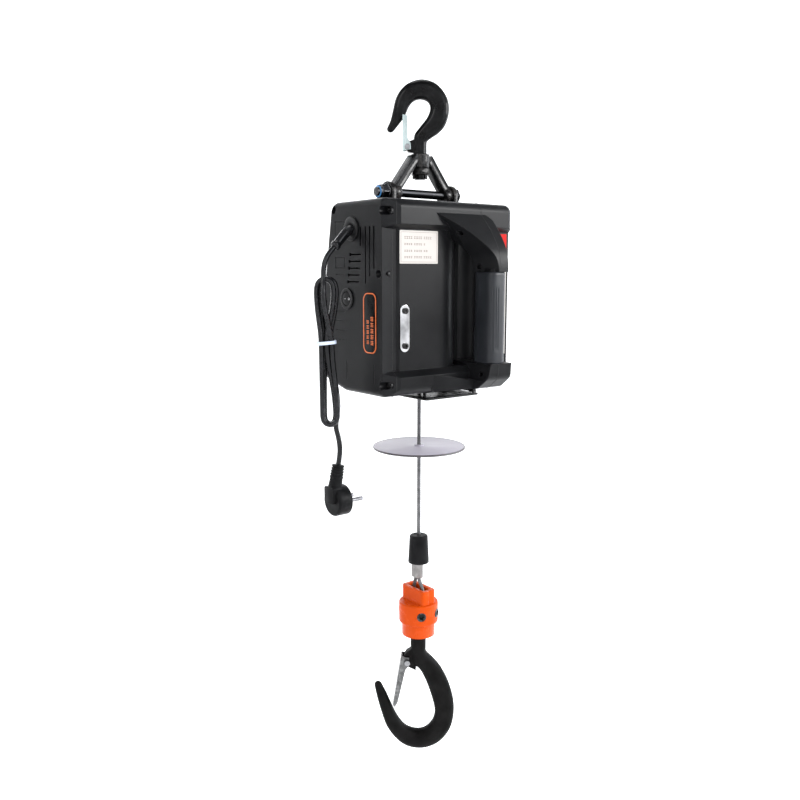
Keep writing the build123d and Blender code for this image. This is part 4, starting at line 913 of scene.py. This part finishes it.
LOAD_STATIONS = [
    ((-57.8, -745.5), (-48.4, -742.5), 4.8),
    ((-54.6, -760.7), (-42.4, -754.5), 6.5),
    ((-49.4, -780), (-34.6, -773), 8.2),
    ((-42, -801.5), (-27.2, -788.5), 9.2),
    ((-30, -818.8), (-18.4, -800.2), 9.5),
    ((-15.8, -829.8), (-9, -805.6), 9.5),
    ((2.4, -833.6), (1.5, -807), 9.5),
    ((20.2, -829.4), (10.2, -804), 9.5),
    ((33.8, -819), (16.6, -797.6), 9.5),
    ((43.4, -804), (20.6, -790), 9.5),
    ((47.6, -784), (22, -780), 9.5),
    ((46.6, -763), (20, -768), 9.5),
    ((39.8, -739), (15, -751), 9.5),
    ((29.8, -719), (9, -735), 9.5),
    ((19.4, -706), (2.2, -722), 9.5),
    ((10.6, -697), (-7.4, -711), 9.6),
    ((10, -688), (-10, -694), 9.8),
    ((10, -663.6), (-10, -663.6), 9.8),
]
LOAD_LUG = [(-4, -689), (-15.5, -696.5), (-19.6, -703), (-18.6, -710), (-14, -716.4), (-3, -722)]
load_forging = forged_hook("load_hook_forged", LOAD_STATIONS, LOAD_LUG, 6, (9.6, -690, -650))
finish_piece(load_forging, "hook_coat", "load_hook", ("load_hook",))

# ---------------------------------------------------------------- labels, badge and marks
FACE_LEFT = Vector((-1, 0, 0))  # out of the end cover
FACE_FRONT = Vector((0, -1, 0))  # out of the front panel
INK = surface("label_ink", (0.16, 0.12, 0.1), 0.5, mottle=0.3, mottle_scale=900)
LABEL_THICK = 0.4
PRINT_LOW, PRINT_HIGH = 0.38, 0.44  # the print on the labels, out from their backs


def trim(name, bm, material, body, replaced=()):
    """A small printed or moulded piece with a material of its own."""
    piece = piece_from(name, bm)
    piece.data.materials.append(material)
    if replaced:
        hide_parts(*replaced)
    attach(piece, body)
    return piece


def centre_of(node):
    """Centre and size of a node's box."""
    low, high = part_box(node)
    return (low + high) / 2, high - low


label_mid, label_size = centre_of("rating_label")
LABEL_W, LABEL_H = label_size.x / MM, label_size.z / MM
label_face = Vector((label_mid.x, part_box("rating_label")[1].y, label_mid.z))


def rating_sheet():
    """The white sheet of the rating label."""
    bm = bmesh.new()
    sheet = rounded_rect(LABEL_W, LABEL_H, 1.0)
    plate(bm, sheet, label_face, X_AXIS, UP, FACE_FRONT, 0.0, LABEL_THICK)
    return bm


def label_bar(bm, width, tall, radius, across, height):
    """One bar of print on the rating label, about a point on its face."""
    bar = [(a + across, b + height) for a, b in rounded_rect(width, tall, radius, 2)]
    plate(bm, bar, label_face, X_AXIS, UP, FACE_FRONT, PRINT_LOW, PRINT_HIGH)


def rating_print():
    """Thin border and four rows of plain bars in place of text."""
    bm = bmesh.new()
    rim = 1.7
    outer = rounded_rect(LABEL_W - 2 * rim, LABEL_H - 2 * rim, 0.6)
    inner = rounded_rect(LABEL_W - 2 * rim - 0.7, LABEL_H - 2 * rim - 0.7, 0.4)
    border(bm, outer, inner, label_face, X_AXIS, UP, FACE_FRONT, PRINT_LOW, 0.46)
    line_start = -LABEL_W / 2 + 6.5
    # Height, length and letter height of each row.
    rows = ((10.5, 42, 3.0), (3.2, 30, 2.2), (-4.2, 33, 2.2), (-11.3, 42, 2.4))
    for height, length, tall in rows:
        place = line_start
        step = 0
        while place < line_start + length:
            width = (2.2, 3.1, 1.7, 2.6)[step % 4]
            for bar in (-0.33, 0.33):
                label_bar(bm, width, 0.5, 0.2, place + width / 2, height + bar * tall)
            label_bar(bm, 0.5, tall, 0.2, place + width / 2, height)
            place += width + (0.7 if step % 4 != 3 else 2.4)
            step += 1
    return bm


trim("rating_label_sheet", rating_sheet(), FINISH["label_white"], "casing", ("rating_label",))
trim("rating_label_print", rating_print(), INK, "casing")

warn_low, warn_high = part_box("warning_label")
WARN_TOP = warn_high.z / MM + 1.0
WARN_RED_LOW, WARN_SPLIT, WARN_LOW = -174.5, -258.0, warn_low.z / MM
WARN_X0, WARN_X1 = warn_low.x / MM, 92.5


def warning_panel(top, low):
    """One coloured panel of the warning label."""
    bm = bmesh.new()
    middle = mm((WARN_X0 + WARN_X1) / 2, warn_high.y / MM, (top + low) / 2)
    panel = rounded_rect(WARN_X1 - WARN_X0, top - low, 0.8)
    plate(bm, panel, middle, X_AXIS, UP, FACE_FRONT, 0.0, LABEL_THICK)
    return bm


def warning_bars():
    """Plain bars in place of the small print."""
    bm = bmesh.new()
    for row in range(17):
        z = WARN_RED_LOW - 6 - 7.4 * row
        if abs(z - WARN_SPLIT) < 4:
            continue
        length = (16, 12, 15, 9)[row % 4]
        strip = [(a + length / 2, b) for a, b in rounded_rect(length, 1.3, 0.4, 2)]
        start = mm(WARN_X0 + 2.4, warn_high.y / MM, z)
        plate(bm, strip, start, X_AXIS, UP, FACE_FRONT, PRINT_LOW, PRINT_HIGH)
    return bm


trim(
    "warning_label_white",
    warning_panel(WARN_RED_LOW, WARN_LOW),
    FINISH["label_white"],
    "casing",
    ("warning_label",),
)
trim(
    "warning_label_red",
    warning_panel(WARN_TOP, WARN_RED_LOW),
    FINISH["label_red"],
    "casing",
)
trim("warning_label_print", warning_bars(), INK, "casing")

badge_mid, badge_size = centre_of("badge")
BADGE_W, BADGE_H = badge_size.y / MM, badge_size.z / MM
badge_face = Vector((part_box("badge")[0].x, badge_mid.y, badge_mid.z))
TO_RIGHT = Vector((0, -1, 0))  # right, seen from outside the end cover
BADGE_CORNER = 8.2


def badge_bar(bm, width, tall, across, height):
    """One bar of print on the badge, about a point on its face."""
    bar = [(a + across, b + height) for a, b in rounded_rect(width, tall, 0.3, 2)]
    plate(bm, bar, badge_face, TO_RIGHT, UP, FACE_LEFT, -0.05, 0.12)


def badge_frame():
    """Raised rim and two columns of plain blocks in its lower half."""
    bm = bmesh.new()
    outer = rounded_rect(BADGE_W, BADGE_H, BADGE_CORNER, 10)
    inner = rounded_rect(BADGE_W - 2.4, BADGE_H - 2.4, 7.0, 10)
    border(bm, outer, inner, badge_face, TO_RIGHT, UP, FACE_LEFT, -0.6, 0.35)
    for column, size, first in ((4.2, 5.2, 5.0), (-4.0, 4.2, 1.5)):
        stroke = size * 0.17
        for row in range(5):
            z = first - row * (size + 1.6)
            for bar in (-1, 0, 1):
                badge_bar(bm, size, stroke, column, z + bar * size * 0.36)
            badge_bar(bm, stroke, size, column + size * 0.18 * (-1) ** row, z)
    return bm


def badge_field():
    """The dark field inside the rim."""
    bm = bmesh.new()
    field = rounded_rect(BADGE_W, BADGE_H, BADGE_CORNER, 10)
    plate(bm, field, badge_face, TO_RIGHT, UP, FACE_LEFT, -1.1, 0.0)
    return bm


trim("badge_frame", badge_frame(), FINISH["badge_trim"], "casing", ("badge",))
trim("badge_field", badge_field(), FINISH["switch_plastic"], "casing")

ROCKER_PIVOT = mm(-98.5, 9.6, -234)
ROCKER_TILT = radians(7)
ROCKER_OUT = Vector((-cos(ROCKER_TILT), -sin(ROCKER_TILT), 0))
ROCKER_RIGHT = Vector((sin(ROCKER_TILT), -cos(ROCKER_TILT), 0))
MARK_WHITE = surface("mark_white", (0.5, 0.5, 0.5), 0.5, mottle=0.05)


def rocker_marks():
    """A short bar for on and a small ring for off."""
    bm = bmesh.new()
    face = ROCKER_PIVOT + ROCKER_OUT * 3.6 * MM
    bar = [(a - 3.3, b) for a, b in rounded_rect(2.6, 0.5, 0.2, 2)]
    plate(bm, bar, face, ROCKER_RIGHT, UP, ROCKER_OUT, -0.1, 0.12)
    outer = [(a + 3.3, b) for a, b in rounded_rect(2.6, 2.6, 1.29, 8)]
    inner = [(a + 3.3, b) for a, b in rounded_rect(1.7, 1.7, 0.84, 8)]
    border(bm, outer, inner, face, ROCKER_RIGHT, UP, ROCKER_OUT, -0.1, 0.12)
    return bm


trim("rocker_marks", rocker_marks(), MARK_WHITE, "rocker")

# ---------------------------------------------------------------- handle grip
GRIP_X, GRIP_HALF = 42.0, 13.0
GRIP_FRONT, GRIP_BACK = -98.0, -64.0
GRIP_TOP, GRIP_LOW = -203.0, -311.0
GRIP_POWER = 3.6
GRIP_POINTS, GRIP_LEVELS = 96, 60
FLUTES = (234, 247, 260)  # degrees round the grip, where 270 is its front
FLUTE_DEPTH, FLUTE_HALF, FLUTE_LEAN = 1.5, 3.0, 3.0  # millimetres, degrees, degrees over its height


def grip_sleeve():
    """Sleeve with three long flutes on its front corner and a swell behind the fingers."""
    bm = bmesh.new()
    half_y = (GRIP_BACK - GRIP_FRONT) / 2
    rings = []
    for step in range(GRIP_LEVELS + 1):
        z = GRIP_LOW + (GRIP_TOP - GRIP_LOW) * step / GRIP_LEVELS
        swell = 3.2 * eased(max(0, min(1, (GRIP_LOW + 46 - z) / 12)))
        ends = eased(max(0, min(1, min(z - GRIP_LOW - 14, GRIP_TOP - 16 - z) / 5)))
        lip = 0.7 if GRIP_TOP - 1.2 < z or z < GRIP_LOW + 1.2 else 0.0
        ring = []
        for k in range(GRIP_POINTS):
            turn = 2 * pi * k / GRIP_POINTS
            reach = squared_reach(turn, GRIP_POWER)
            back = swell if sin(turn) > 0 else 0.0
            x = (GRIP_HALF - lip) * reach * cos(turn)
            y = (half_y + back * sin(turn) - lip) * reach * sin(turn)
            depth = 0.0
            for flute in FLUTES:
                lean = (z - GRIP_LOW) / (GRIP_TOP - GRIP_LOW) * FLUTE_LEAN
                gap = (turn * 180 / pi - flute + lean) / FLUTE_HALF
                depth = max(depth, FLUTE_DEPTH * max(0.0, 1 - gap * gap))
            shrink = 1 - depth * ends / max(1e-6, (x * x + y * y) ** 0.5)
            ring.append(mm(GRIP_X + x * shrink, (GRIP_FRONT + GRIP_BACK) / 2 + y * shrink, z))
        rings.append(ring)
    skin(bm, rings)
    return piece_from("grip_sleeve", bm)


finish_piece(grip_sleeve(), "grip_rubber", "casing", ("handle_grip",))

# ---------------------------------------------------------------- parting lines of the casing
SEAM_DARK = surface("seam_dark", (0.003, 0.003, 0.003), 0.7, mottle=0.2)
SEAM_R = 0.28


def seam(node, x, name):
    """Dark line where two casing parts meet: the rim of the node's face at that x."""
    mesh = nodes[node].data
    bm = bmesh.new()
    bm.from_mesh(mesh)
    bmesh.ops.remove_doubles(bm, verts=bm.verts, dist=1e-5)
    flat = [f for f in bm.faces if all(abs(v.co.x / MM - x) < 0.02 for v in f.verts)]
    inside = set(flat)
    rim = [e for e in bm.edges if sum(f in inside for f in e.link_faces) == 1]
    outline = bmesh.new()
    for edge in rim:
        a, b = (v.co.copy() for v in edge.verts)
        if (b - a).length < 2e-5:
            continue
        skin(outline, sweep_rings([a, b], [SEAM_R * MM] * 2, X_AXIS, 6))
    bm.free()
    trim(name, outline, SEAM_DARK, "casing")


seam("right_shell", 42.0, "seam_shells")
seam("end_cover", -84.0, "seam_cover")

# ---------------------------------------------------------------- small metal parts
BLOCK_SCREW_Z, BLOCK_R = -640, 25.5
BLOCK_SCREW_ANGLES = (60, 120, 240, 300)
HEX_R = 3.5  # rings smaller than this belong to the hexagon socket
HEAD_PROFILE = [(-8, 5.9), (0.0, 5.9), (0.5, 5.4), (0.5, 3.4), (-2.8, 3.1), (-2.8, 0.01)]


def socket_heads():
    """Socket screw heads sunk in the round flange of the load block."""
    bm = bmesh.new()
    for angle in BLOCK_SCREW_ANGLES:
        out = Vector((cos(radians(angle)), sin(radians(angle)), 0))
        side = UP.cross(out)
        base = mm(0, 0, BLOCK_SCREW_Z) + out * BLOCK_R * MM
        rings = []
        for low, radius in HEAD_PROFILE:
            ring = []
            for k in range(24):
                turn = 2 * pi * k / 24
                near = 1.0
                if radius < HEX_R:
                    near = cos(pi / 6) / cos((turn % (pi / 3)) - pi / 6)
                spot = (side * cos(turn) + UP * sin(turn)) * radius * near
                ring.append(base + (out * low + spot) * MM)
            rings.append(ring)
        skin(bm, rings)
    return piece_from("block_screw_heads", bm)


finish_piece(socket_heads(), "screw_black", "load_block", ("block_screws",), smooth=False)

NYLON_BLUE = surface("nylon_blue", (0.05, 0.22, 0.5), 0.35, mottle=0.1, grain=0.1)


def nylon_ring():
    """Ring of the self-locking nut, between its steel collar and the axle."""
    bm = bmesh.new()
    centre_z, x_in, x_out = -110.0, -61.5, -63.6
    profile = [(x_in, 5.1), (x_in, 7.0), (x_out + 0.4, 7.0), (x_out, 6.4), (x_out, 5.4), (x_out + 0.3, 5.1)]
    rings = []
    for step in range(41):
        turn = 2 * pi * (step % 40) / 40
        rings.append([mm(x, r * cos(turn), centre_z + r * sin(turn)) for x, r in profile])
    skin(bm, rings, caps=False)
    bmesh.ops.remove_doubles(bm, verts=bm.verts, dist=1e-6)
    return bm


trim("axle_nut_nylon", nylon_ring(), NYLON_BLUE, "casing")

DISC_EDGE = surface("disc_edge", (0.035, 0.03, 0.035), 0.4, mottle=0.2, grain=0.1)
DISC_R, DISC_Z = 57.6, -422
DISC_STEPS = 144


def disc_rim():
    """Rolled dark edge of the limit disc."""
    bm = bmesh.new()
    rings = []
    for step in range(DISC_STEPS + 1):
        turn = 2 * pi * (step % DISC_STEPS) / DISC_STEPS
        ring = []
        for k in range(10):
            tilt = 2 * pi * k / 10
            radius = DISC_R + 0.75 * cos(tilt)
            ring.append(mm(radius * cos(turn), radius * sin(turn), DISC_Z + 1.25 * sin(tilt)))
        rings.append(ring)
    skin(bm, rings, caps=False)
    bmesh.ops.remove_doubles(bm, verts=bm.verts, dist=1e-6)
    return bm


rim = trim("disc_rim", disc_rim(), DISC_EDGE, "limit_disc")
rim.data.shade_smooth()
